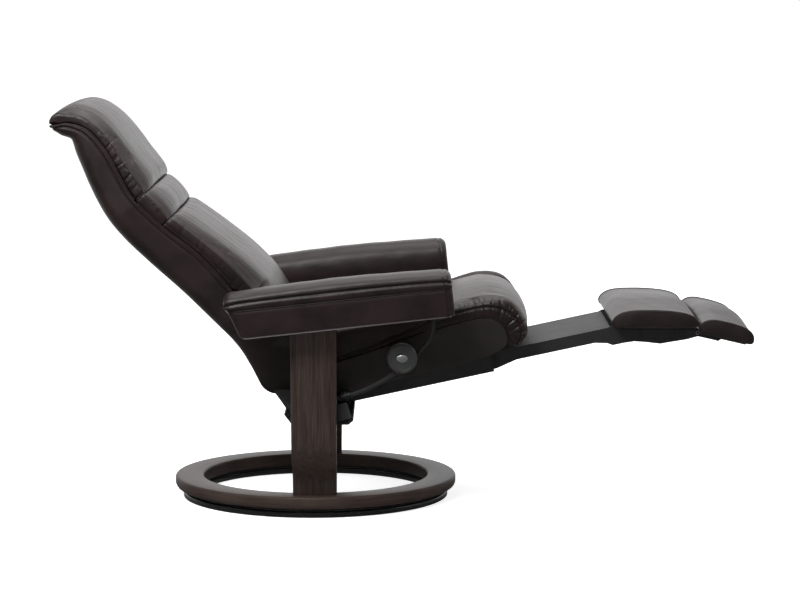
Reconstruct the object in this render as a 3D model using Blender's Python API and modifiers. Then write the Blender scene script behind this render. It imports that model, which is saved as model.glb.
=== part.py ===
"""Reclining swivel chair with a powered footrest, reclined and with its footrest out.

Metres, +Z up, +X towards the footrest, floor at zero. "Right" is the sitter's right, at -Y.
Names that end in _SHARES hold outlines as shares of the sizes that they are drawn with.
"""

import math

import bmesh
import bpy
from mathutils import Matrix, Vector

# Clearances
GAP = 0.0003
SOFT_GAP = 0.0007
OVERRUN = 0.010

# Whole chair: the swivel axis stands behind the middle of the reclined chair
SWIVEL_X = -0.1945
CIRCLE_STEPS = 48
SMALL_CIRCLE_STEPS = 16

# Floor ring, ball race and cage
FLOOR_RING_OUTER_R = 0.292
FLOOR_RING_W = 0.036
FLOOR_RING_INNER_R = FLOOR_RING_OUTER_R - FLOOR_RING_W
FLOOR_RING_H = 0.012
FLOOR_RING_EDGE = 0.0030
BALL_R = 0.0030
BALL_COUNT = 12
BALL_INSET = 0.020
BALL_PITCH_R = FLOOR_RING_OUTER_R - BALL_INSET
CAGE_HALF_W = 0.006
CAGE_H = 0.0014
RACE_HALF_W = 0.014
RACE_H = 0.0055

# Wooden base ring
RING_OVERHANG = 0.018
RING_INNER_OVERHANG = 0.0085
RING_OUTER_R = FLOOR_RING_OUTER_R + RING_OVERHANG
RING_INNER_R = FLOOR_RING_INNER_R - RING_INNER_OVERHANG
RING_BOTTOM_Z = 0.020
RING_H = 0.027
RING_EDGE_R = 0.005
RING_UNDER_R = 0.012

# Wooden uprights: a foot on the ring, an outward bend and a straight top under the arm
UPRIGHT_T = 0.028
UPRIGHT_TOP_W = 0.098
UPRIGHT_FOOT_W = 0.093
UPRIGHT_X = 0.006
UPRIGHT_FOOT_INSET = 0.0185
UPRIGHT_FOOT_Y = RING_INNER_R + UPRIGHT_FOOT_INSET
UPRIGHT_TOP_Y = 0.334
UPRIGHT_BEND_LOW_Z = 0.075
UPRIGHT_BEND_HIGH_Z = 0.172
UPRIGHT_BEND_STEPS = 8
UPRIGHT_EDGE_R = 0.003

# Arms, in a frame that stands on the upright's top and rises to the front
ARM_TILT = math.radians(6.2)
ARM_SEAT_X = 0.008
ARM_SEAT_Z = 0.4097
ARM_Y = 0.3470
ARM_HALF_W = 0.0480
ARM_REAR = 0.1690
ARM_FRONT = 0.2950
ARM_BODY_H = 0.0600
ARM_PAD_H = 0.0430
ARM_PAD_REAR = 0.1880
ARM_PAD_FRONT = 0.2990
ARM_PAD_HALF_W = 0.0490

# Guide tubes and their clamps; the seat glides on an arc about this centre
GLIDE_X = -0.0215
GLIDE_Z = 0.5857
GUIDE_R = 0.3365
GUIDE_Y = 0.3090
GUIDE_TUBE_R = 0.0050
GUIDE_REAR_ANGLE = math.radians(4.5)
GUIDE_FRONT_ANGLE = math.radians(53.0)
GUIDE_ARC_STEPS = 16
GUIDE_TOP_X = 0.2570
GUIDE_FLANGE_R = 0.0110
GUIDE_FLANGE_T = 0.0030
SOCKET_LENGTH = 0.0340
SOCKET_H = 0.0240
SOCKET_INNER_Y = 0.3000
CLAMP_FRONT_LENGTH = 0.0440
CLAMP_REAR_LENGTH = 0.0280
CLAMP_REAR_ANGLE = math.radians(19.3)
CLAMP_ABOVE = 0.0270
CLAMP_BELOW = 0.0100
CLAMP_OUTER_Y = 0.3165
CLAMP_BORE_R = 0.0066
CLAMP_EDGE_R = 0.0020

# Friction knobs
KNOB_U = 0.1990
KNOB_W = -0.0740
KNOB_R = 0.0320
KNOB_DEPTH = 0.0200
KNOB_EDGE_R = 0.0060
KNOB_CAP_HALF_L = 0.0140
KNOB_CAP_HALF_H = 0.0100
KNOB_CAP_T = 0.0020
KNOB_BOLT_R = 0.0040
KNOB_BOLT_LENGTH = 0.0300
KNOB_BOLT_IN_KNOB = 0.0120

# Cross channel between the uprights, with an end plate against each
CHANNEL_T = 0.0030
CHANNEL_HALF_L = 0.3155
CHANNEL_REAR_X = -0.0400
CHANNEL_FRONT_X = 0.0780
CHANNEL_LIP_RUN = 0.0160
CHANNEL_LIP_RISE = 0.0210
CHANNEL_TURN_RUN = 0.0100
CHANNEL_TURN_RISE = 0.0085
END_PLATE_T = 0.0080
END_PLATE_H = 0.0345
END_PLATE_LAP = 0.0010
END_PLATE_INNER_R = GUIDE_R + SOCKET_H / 2 - END_PLATE_LAP
END_PLATE_OUTER_R = END_PLATE_INNER_R + END_PLATE_H
END_PLATE_REAR_ANGLE = math.radians(-2.5)
END_PLATE_FRONT_ANGLE = math.radians(16.0)
END_PLATE_TIP_ANGLE = math.radians(-8.3)
END_PLATE_TIP_RISE = 0.0264
END_PLATE_HEEL_ANGLE = math.radians(-3.7)
END_PLATE_HEEL_DROP = 0.0050
CHANNEL_Z = GLIDE_Z - END_PLATE_OUTER_R + CHANNEL_T / 2

# Seat, in a frame on the back's pivot that rises to the front
PIVOT_X = -0.0200
PIVOT_Z = 0.3670
SEAT_TILT = math.radians(15.0)
SEAT_LENGTH = 0.4780
SEAT_DROP = 0.1290
SEAT_HALF_W = 0.2800
SEAT_BOARD_H = 0.0580
PAN_REAR = 0.0200
PAN_FRONT_SHARE = 0.8536
PAN_FRONT = SEAT_LENGTH * PAN_FRONT_SHARE
PAN_UNDER = 0.0680
PAN_HALF_W = 0.2530
TRAY_REAR = 0.0220
TRAY_FRONT_SHARE = 0.8494
TRAY_FRONT = SEAT_LENGTH * TRAY_FRONT_SHARE
TRAY_UNDER = 0.1180
TRAY_HALF_W = 0.2550
TRAY_WALL = 0.0030
PANEL_REAR = 0.0300
PANEL_LENGTH_SHARE = 0.8243
PANEL_LENGTH = SEAT_LENGTH * PANEL_LENGTH_SHARE
PANEL_DROP = 0.1250
PANEL_INNER_Y = 0.2606
PANEL_T = 0.0128
PANEL_EDGE_R = 0.0035

# Hinge between seat and back
HINGE_BRACKET_Y = 0.2506
HINGE_BRACKET_T = 0.0046
HINGE_BRACKET_R = 0.0140
HINGE_BRACKET_REACH = 0.0600
HINGE_PLATE_Y = 0.2556
HINGE_PLATE_T = 0.0045
HINGE_PLATE_REACH = 0.1100
HINGE_PLATE_DROP = 0.0900
HINGE_PIN_R = 0.0060
HINGE_PIN_INNER_Y = 0.2496
HINGE_PIN_OUTER_Y = 0.2680

# Back and headrest, in a frame on the same pivot that leans back
BACK_LEAN = math.radians(42.0)
BACK_DEPTH = 0.1320
PAD_GAP = 0.0035
CUSHION_TOP_U = 0.3835
NECK_PAD_LOW_U = CUSHION_TOP_U + PAD_GAP
NECK_PAD_H = 0.0705
NECK_PAD_TOP_U = NECK_PAD_LOW_U + NECK_PAD_H
NECK_CLEARANCE = 0.0005
NECK_U = NECK_PAD_TOP_U + NECK_CLEARANCE
NECK_W = -0.0570
HEAD_RISE = 0.2520
BOARD_T = 0.0080
BACK_HALF_W = 0.2640
BACK_FOOT_HALF_W = 0.2485
BACK_FRAME_HALF_W = 0.2502
BACK_WIDE_FROM_U = 0.1400
BACK_NARROW_BELOW_U = 0.0950
HEAD_TOP_HALF_W = 0.2380
HEAD_CLEARANCE = 0.0030
HEAD_LOW_U = NECK_U + HEAD_CLEARANCE
HEAD_FRAME_H = 0.1620
HEAD_FRAME_TOP_U = NECK_U + HEAD_FRAME_H
BACK_FRAME_LOW_U = -0.0300
NECK_ROD_HALF_L = 0.2200

# Leg mechanism, in a frame that rises to the front
LEG_X = 0.0700
LEG_Z = 0.2450
LEG_TILT = math.radians(12.1)
HOUSING_REAR = 0.0120
HOUSING_FRONT = 0.3240
HOUSING_BOTTOM = -0.0170
HOUSING_HALF_W = 0.1650
HOUSING_WALL = 0.0025
BEAM_REAR = 0.2500
BEAM_TOP = 0.0225
BEAM_PLATE_T = 0.0030
BEAM_HALF_W = 0.1500
BEAM_CHEEK_T = 0.0030
BEAM_BOTTOM = -0.0140
BEAM_SLIM_BOTTOM = -0.0040
BEAM_TAPER_FROM = 0.3300
BEAM_TAPER_TO = 0.3760
BEAM_STEP_FROM = 0.5650
BEAM_STEP_TO = 0.5850
BEAM_STEP_BOTTOM = -0.0170
BEAM_PLATE_END = 0.5880
BEAM_CHEEK_TOP = 0.0120
MOTOR_REAR = -0.0280
MOTOR_FRONT = 0.0640
MOTOR_TOP = 0.0180
MOTOR_BODY_L = 0.0370
MOTOR_FOOT_T = 0.0075
MOTOR_HALF_W = 0.1050
ACTUATOR_W = 0.0020
ACTUATOR_TUBE_R = 0.0110
ACTUATOR_TUBE_BORE_R = 0.0075
ACTUATOR_TUBE_REAR = 0.0200
ACTUATOR_TUBE_FRONT = 0.3200
ACTUATOR_ROD_R = 0.0060
ACTUATOR_ROD_REAR = 0.2700
ACTUATOR_ROD_FRONT = 0.5650
ACTUATOR_CLIP_T = 0.0060
INLET_R = 0.0070
INLET_LENGTH = 0.0120

# Foot pads
FOOT_HINGE_X = 0.6840
FOOT_HINGE_Z = 0.3760
FOOT_HINGE_PIN_R = 0.0050
FOOT_HINGE_CHEEK_R = 0.0140
CHEEK_TURN = math.radians(80.0)
FOOT_PAD_REAR_X = 0.6450
FOOT_PAD_BOTTOM_Z = 0.3980
FOOT_PAD_LENGTH = 0.1790
FOOT_PAD_H = 0.0410
FOOT_PAD_HALF_W = 0.2200
FOOT_BOARD_REAR_X = 0.6560
FOOT_BOARD_FRONT_X = 0.8150
FOOT_BOARD_T = 0.0060
FOOT_BOARD_HALF_W = 0.2050
BRACKET_HALF_W = 0.1440
BRACKET_CHEEK_T = 0.0040
BRACKET_PLATE_T = 0.0030
BRACKET_DROP = 0.0380
BRACKET_PLATE_FRONT_X = 0.8100
END_HINGE_X = 0.8290
END_HINGE_Z = 0.3770
END_HINGE_PIN_R = 0.0040
END_HINGE_CHEEK_R = 0.0080
END_PAD_X = 0.8320
END_PAD_Z = 0.3900
END_PAD_TILT = math.radians(-13.0)
END_PAD_REAR = -0.0060
END_PAD_LENGTH = 0.1160
END_PAD_BOTTOM = -0.0045
END_PAD_H = 0.0390
END_PAD_HALF_W = 0.2200
END_BOARD_REAR = 0.0100
END_BOARD_FRONT = 0.0980
END_BOARD_T = 0.0042
END_BOARD_HALF_W = 0.2050
END_BRACKET_HALF_W = 0.1340
END_BRACKET_CHEEK_T = 0.0060
END_BRACKET_FRONT = 0.0570
END_BRACKET_DROP = 0.0080

# Footrest buttons, on the left side panel
SWITCH_U_SHARE = 0.6380753
SWITCH_U = SEAT_LENGTH * SWITCH_U_SHARE
SWITCH_W = -0.0840
SWITCH_HALF_L = 0.0240
SWITCH_HALF_H = 0.0110
SWITCH_T = 0.0040
BUTTON_R = 0.0060
BUTTON_PITCH = 0.0200
BUTTON_T = 0.0045
BUTTON_TRAVEL = 0.0015

# Outlines
SEAT_UNDER_SHARES = (
    (0.036, 0.98), (0.27, 0.92), (0.52, 0.73), (0.66, 0.66), (0.79, 0.69), (0.868, 0.92), (0.887, 1.40),
    (0.895, 2.03))
SEAT_TOP_SHARES = (
    (0.925, 1.01), (0.980, 0.90), (1.003, 0.62), (0.985, 0.30), (0.935, 0.08), (0.84, -0.02), (0.62, 0.0),
    (0.36, 0.0), (0.12, 0.0), (0.036, 0.12))
SEAT_STATION_SHARES = ((0.0, 0.05), (0.42, 0.03), (0.68, -0.10), (0.82, -0.01), (0.955, -0.11), (1.0, -0.27))
PANEL_UNDER_SHARES = (
    (0.985, 0.888), (0.944, 0.95), (0.891, 0.985), (0.726, 1.0), (0.33, 0.985), (0.10, 0.955),
    (0.02, 0.92), (0.0, 0.86), (0.0, 0.52))
SHELL_REAR_SHARES = (
    (-0.105, 0.62), (-0.092, 0.84), (-0.03, 0.98), (0.06, 0.91), (0.15, 0.825), (0.30, 0.835),
    (0.511, 0.88), (0.731, 0.955), (0.88, 0.998), (0.997, 1.0))
DIVIDE_SHARES = (
    (-0.09, 0.53), (0.06, 0.40), (0.25, 0.315), (0.45, 0.25), (0.63, 0.265), (0.80, 0.37), (1.0, 0.432))
HEAD_DIVIDE_SHARES = (
    (0.0, 0.432), (0.13, 0.405), (0.29, 0.335), (0.45, 0.265), (0.60, 0.238), (0.74, 0.27), (0.86, 0.41),
    (0.935, 0.645))
HEAD_SHELL_REAR_SHARES = (
    (0.93, 0.675), (0.86, 0.665), (0.775, 0.54), (0.635, 0.665), (0.40, 0.835), (0.20, 0.94), (0.052, 0.985))
HEAD_FRONT_SHARES = (
    (0.965, 0.67), (0.997, 0.52), (1.004, 0.34), (0.97, 0.17), (0.88, 0.04), (0.72, -0.04), (0.52, -0.04),
    (0.30, 0.0), (0.09, 0.03), (0.012, 0.12))
CUSHION_FRONT_SHARES = (
    (1.0, 0.22), (0.996, 0.08), (0.92, 0.01), (0.764, -0.10), (0.573, -0.20), (0.382, -0.23),
    (0.203, -0.15), (0.048, -0.06), (-0.014, 0.0), (-0.014, 0.20))
NECK_FRONT_SHARES = (
    (1.0, 0.24), (0.982, 0.08), (0.715, 0.03), (0.292, 0.03), (0.033, 0.08), (0.007, 0.24))
PAD_STATION_SHARES = ((0.0, 1.04), (0.45, 1.02), (0.78, 0.98), (0.945, 0.88), (1.0, 0.62))
SHELL_STATION_SHARES = ((0.0, 1.0), (0.60, 0.985), (0.90, 0.94), (1.0, 0.74))
FOOT_PAD_SHARES = (
    (0.005, 0.0), (0.05, 0.0), (0.93, 0.0), (0.985, 0.0), (1.005, 0.42), (0.93, 0.76), (0.76, 0.94),
    (0.45, 1.01), (0.18, 0.97), (0.03, 0.66), (-0.005, 0.30))
END_PAD_SHARES = (
    (0.02, 0.0), (0.08, 0.0), (0.90, 0.0), (0.97, 0.0), (1.01, 0.36), (0.94, 0.80), (0.74, 0.99),
    (0.40, 1.02), (0.14, 0.96), (0.01, 0.62), (0.0, 0.25))
FOOT_PAD_STATION_SHARES = ((0.0, 1.0), (0.93, 1.0), (0.985, 0.985), (1.0, 0.94))
ARM_SECTION_SHARES = ((0.0, 0.0), (0.84, 0.0), (1.0, 0.16), (1.0, 0.86), (0.84, 1.0))
ARM_BODY_STATION_SHARES = (
    (0.0, 0.82, 0.34), (0.014, 0.95, 0.09), (0.06, 1.0, 0.0), (0.40, 1.0, 0.0), (0.90, 1.0, 0.0),
    (0.962, 0.985, 0.07), (0.992, 0.95, 0.34), (1.0, 0.88, 0.56))
ARM_PAD_SECTION_SHARES = (
    (0.0, 0.0), (0.88, 0.0), (1.01, 0.22), (0.985, 0.60), (0.80, 0.90), (0.35, 1.01))
ARM_PAD_STATION_SHARES = (
    (0.0, 0.72, 0.62), (0.022, 0.90, 0.84), (0.10, 1.0, 0.95), (0.35, 1.0, 1.0), (0.68, 1.0, 1.0),
    (0.90, 1.0, 0.94), (0.982, 0.92, 0.78), (1.0, 0.78, 0.58))
GUIDE_TURN_SHARES = ((0.62, 0.32), (0.92, 0.62), (1.0, 1.0))
BRACKET_UNDER_SHARES = ((0.05, 0.86), (0.22, 0.90), (0.45, 1.0), (0.56, 0.92), (0.85, 0.74))

MATERIALS = {}
FINISHES = {
    "leather": ((0.062, 0.040, 0.036, 1.0), 0.42, 0.0),
    "side_leather": ((0.022, 0.017, 0.016, 1.0), 0.50, 0.0),
    "wood": ((0.050, 0.034, 0.030, 1.0), 0.48, 0.0),
    "frame_board": ((0.220, 0.150, 0.090, 1.0), 0.65, 0.0),
    "black_steel": ((0.020, 0.022, 0.023, 1.0), 0.42, 0.7),
    "bright_steel": ((0.520, 0.520, 0.530, 1.0), 0.28, 1.0),
    "black_plastic": ((0.018, 0.019, 0.020, 1.0), 0.35, 0.0),
    "knob_plastic": ((0.040, 0.042, 0.044, 1.0), 0.45, 0.0),
    "silver": ((0.600, 0.600, 0.610, 1.0), 0.30, 0.9),
}


def clear_scene():
    """Remove every object that the scene holds."""
    for thing in list(bpy.data.objects):
        bpy.data.objects.remove(thing, do_unlink=True)


def collection(name):
    """Return a new collection that the scene shows."""
    group = bpy.data.collections.new(name)
    bpy.context.scene.collection.children.link(group)
    return group


def make_materials():
    """Make one Principled material for each finish."""
    for name, (colour, roughness, metallic) in FINISHES.items():
        material = bpy.data.materials.new(name)
        material.use_nodes = True
        shader = material.node_tree.nodes["Principled BSDF"]
        shader.inputs["Base Color"].default_value = colour
        shader.inputs["Roughness"].default_value = roughness
        shader.inputs["Metallic"].default_value = metallic
        material.diffuse_color = colour
        MATERIALS[name] = material


def tilted(x, z, tilt):
    """Return a frame at X and Z in the chair whose X axis rises by the tilt."""
    return Matrix.Translation((SWIVEL_X + x, 0, z)) @ Matrix.Rotation(-tilt, 4, "Y")


CHAIR = tilted(0, 0, 0)
ARM = tilted(ARM_SEAT_X, ARM_SEAT_Z, ARM_TILT)
SEAT = tilted(PIVOT_X, PIVOT_Z, SEAT_TILT)
BACK = tilted(PIVOT_X, PIVOT_Z, BACK_LEAN)
LEG = tilted(LEG_X, LEG_Z, LEG_TILT)
END = tilted(END_PAD_X, END_PAD_Z, END_PAD_TILT)
GLIDE = tilted(GLIDE_X, GLIDE_Z, 0)
HEAD = BACK @ Matrix.Translation((NECK_W, 0, NECK_U))
FOOT_HINGE = tilted(FOOT_HINGE_X, FOOT_HINGE_Z, 0)
END_HINGE = tilted(END_HINGE_X, END_HINGE_Z, 0)


def plane_point(frame, x, z):
    """Return a point of a tilted frame as X and Z in the chair."""
    point = CHAIR.inverted() @ frame @ Vector((x, 0, z))
    return point.x, point.z


def in_frame(frame, x, z):
    """Return a point of the chair as X and Z in a tilted frame."""
    point = frame.inverted() @ CHAIR @ Vector((x, 0, z))
    return point.x, point.z


KNOB_X, KNOB_Z = plane_point(SEAT, KNOB_U, KNOB_W)
KNOB_ANGLE = math.atan2(KNOB_X - GLIDE_X, GLIDE_Z - KNOB_Z)
PANEL_OUTER_Y = PANEL_INNER_Y + PANEL_T
SWITCH_X, SWITCH_Z = plane_point(SEAT, SWITCH_U, SWITCH_W)


class Body:
    """A moving group: its empty stands on the joint's axis and carries the pieces."""

    def __init__(self, name, frame, parent=None):
        self.empty = bpy.data.objects.new(name, None)
        self.frame = frame.copy()
        self.parent = parent
        bpy.context.scene.collection.objects.link(self.empty)
        if parent:
            self.empty.parent = parent.empty
            self.empty.matrix_parent_inverse = parent.frame.inverted()
        self.empty.matrix_basis = self.frame

    def carry(self, piece, frame):
        """Place a piece whose mesh is drawn in a frame, and parent it to the empty."""
        piece.parent = self.empty
        piece.matrix_parent_inverse = self.frame.inverted()
        piece.matrix_basis = frame
        return piece


def add_object(name, mesh, group, material=None):
    """Put a mesh in a collection as a new object."""
    piece = bpy.data.objects.new(name, mesh)
    group.objects.link(piece)
    if material:
        mesh.materials.append(MATERIALS[material])
    return piece


def mesh_from(name, work):
    """Turn a bmesh into a mesh with its faces pointing out."""
    bmesh.ops.recalc_face_normals(work, faces=work.faces)
    mesh = bpy.data.meshes.new(name)
    work.to_mesh(mesh)
    work.free()
    return mesh


def smooth(mesh, degrees=40):
    """Shade a mesh smooth but for its sharp edges."""
    mesh.shade_smooth()
    mesh.set_sharp_from_angle(angle=math.radians(degrees))


def box_mesh(name, low, high):
    """Return a box between two corners."""
    work = bmesh.new()
    bmesh.ops.create_cube(work, size=1)
    size = [high[axis] - low[axis] for axis in range(3)]
    middle = [(high[axis] + low[axis]) / 2 for axis in range(3)]
    bmesh.ops.scale(work, vec=size, verts=work.verts)
    bmesh.ops.translate(work, vec=middle, verts=work.verts)
    return mesh_from(name, work)


def rod_mesh(name, radius, low_y, high_y, x=0, z=0, steps=SMALL_CIRCLE_STEPS):
    """Return a round bar along Y."""
    work = bmesh.new()
    bmesh.ops.create_cone(
        work, cap_ends=True, segments=steps, radius1=radius, radius2=radius, depth=abs(high_y - low_y))
    bmesh.ops.rotate(work, cent=(0, 0, 0), matrix=Matrix.Rotation(math.pi / 2, 3, "X"), verts=work.verts)
    bmesh.ops.translate(work, vec=(x, (low_y + high_y) / 2, z), verts=work.verts)
    mesh = mesh_from(name, work)
    smooth(mesh)
    return mesh


def bar_mesh(name, radius, low_x, high_x, z, steps=SMALL_CIRCLE_STEPS):
    """Return a round bar along X."""
    work = bmesh.new()
    bmesh.ops.create_cone(
        work, cap_ends=True, segments=steps, radius1=radius, radius2=radius, depth=high_x - low_x)
    bmesh.ops.rotate(work, cent=(0, 0, 0), matrix=Matrix.Rotation(math.pi / 2, 3, "Y"), verts=work.verts)
    bmesh.ops.translate(work, vec=((low_x + high_x) / 2, 0, z), verts=work.verts)
    mesh = mesh_from(name, work)
    smooth(mesh)
    return mesh


def curve_mesh(name, curve):
    """Turn a curve into a welded mesh and drop the curve."""
    holder = bpy.data.objects.new(name, curve)
    bpy.context.scene.collection.objects.link(holder)
    mesh = bpy.data.meshes.new_from_object(holder.evaluated_get(bpy.context.evaluated_depsgraph_get()))
    bpy.data.objects.remove(holder)
    work = bmesh.new()
    work.from_mesh(mesh)
    bpy.data.meshes.remove(mesh)
    bmesh.ops.remove_doubles(work, verts=work.verts, dist=GAP / 10)
    return mesh_from(name, work)


def plate_mesh(name, outline, low_y, high_y):
    """Return a flat plate across Y from its outline in X and Z."""
    curve = bpy.data.curves.new(name, "CURVE")
    curve.dimensions = "2D"
    curve.fill_mode = "BOTH"
    curve.extrude = abs(high_y - low_y) / 2
    spline = curve.splines.new("POLY")
    spline.points.add(len(outline) - 1)
    for point, (x, z) in zip(spline.points, outline):
        point.co = (x, z, 0, 1)
    spline.use_cyclic_u = True
    mesh = curve_mesh(name, curve)
    mesh.transform(Matrix.Translation((0, (low_y + high_y) / 2, 0)) @ Matrix.Rotation(math.pi / 2, 4, "X"))
    return mesh


def tube_mesh(name, points, radius):
    """Return a round bar along a route of points."""
    curve = bpy.data.curves.new(name, "CURVE")
    curve.dimensions = "3D"
    curve.bevel_depth = radius
    curve.bevel_resolution = 2
    curve.use_fill_caps = True
    spline = curve.splines.new("POLY")
    spline.points.add(len(points) - 1)
    for point, place in zip(spline.points, points):
        point.co = (*place, 1)
    mesh = curve_mesh(name, curve)
    smooth(mesh, 50)
    return mesh


def turned(name, profile, group, material, steps=CIRCLE_STEPS):
    """Return a ring turned about Z; its profile runs down the outer side."""
    mesh = bpy.data.meshes.new(name)
    count = len(profile)
    edges = [(index, (index + 1) % count) for index in range(count)]
    mesh.from_pydata([(radius, 0, z) for radius, z in profile], edges, [])
    piece = add_object(name, mesh, group, material)
    screw = piece.modifiers.new("turn", "SCREW")
    screw.steps = steps
    screw.render_steps = steps
    screw.use_merge_vertices = True
    screw.merge_threshold = GAP / 10
    screw.use_smooth_shade = True
    return piece


def loft_mesh(name, rings, open_start=False):
    """Return a skin over closed rings of points, closed at both ends or at the last."""
    work = bmesh.new()
    rows = [[work.verts.new(point) for point in ring] for ring in rings]
    count = len(rows[0])
    for first, second in zip(rows, rows[1:]):
        for index in range(count):
            after = (index + 1) % count
            work.faces.new((first[index], first[after], second[after], second[index]))
    end = work.faces.new(rows[-1])
    if not open_start:
        work.faces.new(rows[0])
    bmesh.ops.recalc_face_normals(work, faces=work.faces)
    outward = rows[-1][0].co - rows[0][0].co
    if end.normal.dot(outward) < 0:
        bmesh.ops.reverse_faces(work, faces=work.faces)
    mesh = bpy.data.meshes.new(name)
    work.to_mesh(mesh)
    work.free()
    return mesh


def soften(piece, mirrored=False):
    """Round a soft piece's cage, after its mirror copy if it was drawn as a half."""
    if mirrored:
        mirror = piece.modifiers.new("other_half", "MIRROR")
        mirror.use_axis = (False, True, False)
        mirror.merge_threshold = GAP / 10
    rounding = piece.modifiers.new("rounding", "SUBSURF")
    rounding.levels = 1
    rounding.render_levels = 1
    rounding.use_limit_surface = False
    piece.data.shade_smooth()
    return piece


def bevel(piece, width, segments=2):
    """Round a piece's sharp edges."""
    rounding = piece.modifiers.new("edges", "BEVEL")
    rounding.width = width
    rounding.segments = segments
    rounding.limit_method = "ANGLE"
    rounding.angle_limit = math.radians(35)
    return piece


def scaled(shares, length, height):
    """Return an outline in metres from its shares."""
    return [(length * along, height * across) for along, across in shares]


def eased(points):
    """Return an open line rounded the way that a soft piece's cage is, so that the two keep their gap."""
    line = [points[0]]
    for before, point, after in zip(points, points[1:], points[2:]):
        line.append(tuple((first + second) / 2 for first, second in zip(before, point)))
        line.append(tuple((first + 6 * mid + last) / 8 for first, mid, last in zip(before, point, after)))
    line.append(tuple((first + second) / 2 for first, second in zip(points[-2], points[-1])))
    line.append(points[-1])
    return line


def offset_line(points, gap):
    """Return an open line moved by a gap to the right of its run."""
    moved = []
    for index, (x, z) in enumerate(points):
        before = points[max(index - 1, 0)]
        after = points[min(index + 1, len(points) - 1)]
        run = Vector((after[0] - before[0], after[1] - before[1])).normalized()
        moved.append((x + run.y * gap, z - run.x * gap))
    return moved


def between(points, at):
    """Return the second value at a place of the first, on straight lines between points."""
    if at <= points[0][0]:
        return points[0][1]
    for (low, value), (high, after) in zip(points, points[1:]):
        if at <= high:
            return value + (after - value) * (at - low) / (high - low)
    return points[-1][1]


def arc(x, z, radius, start, end, steps):
    """Return points on an arc; angles run from +X towards +Z."""
    turn = [start + (end - start) * step / steps for step in range(steps + 1)]
    return [(x + radius * math.cos(angle), z + radius * math.sin(angle)) for angle in turn]


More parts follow.
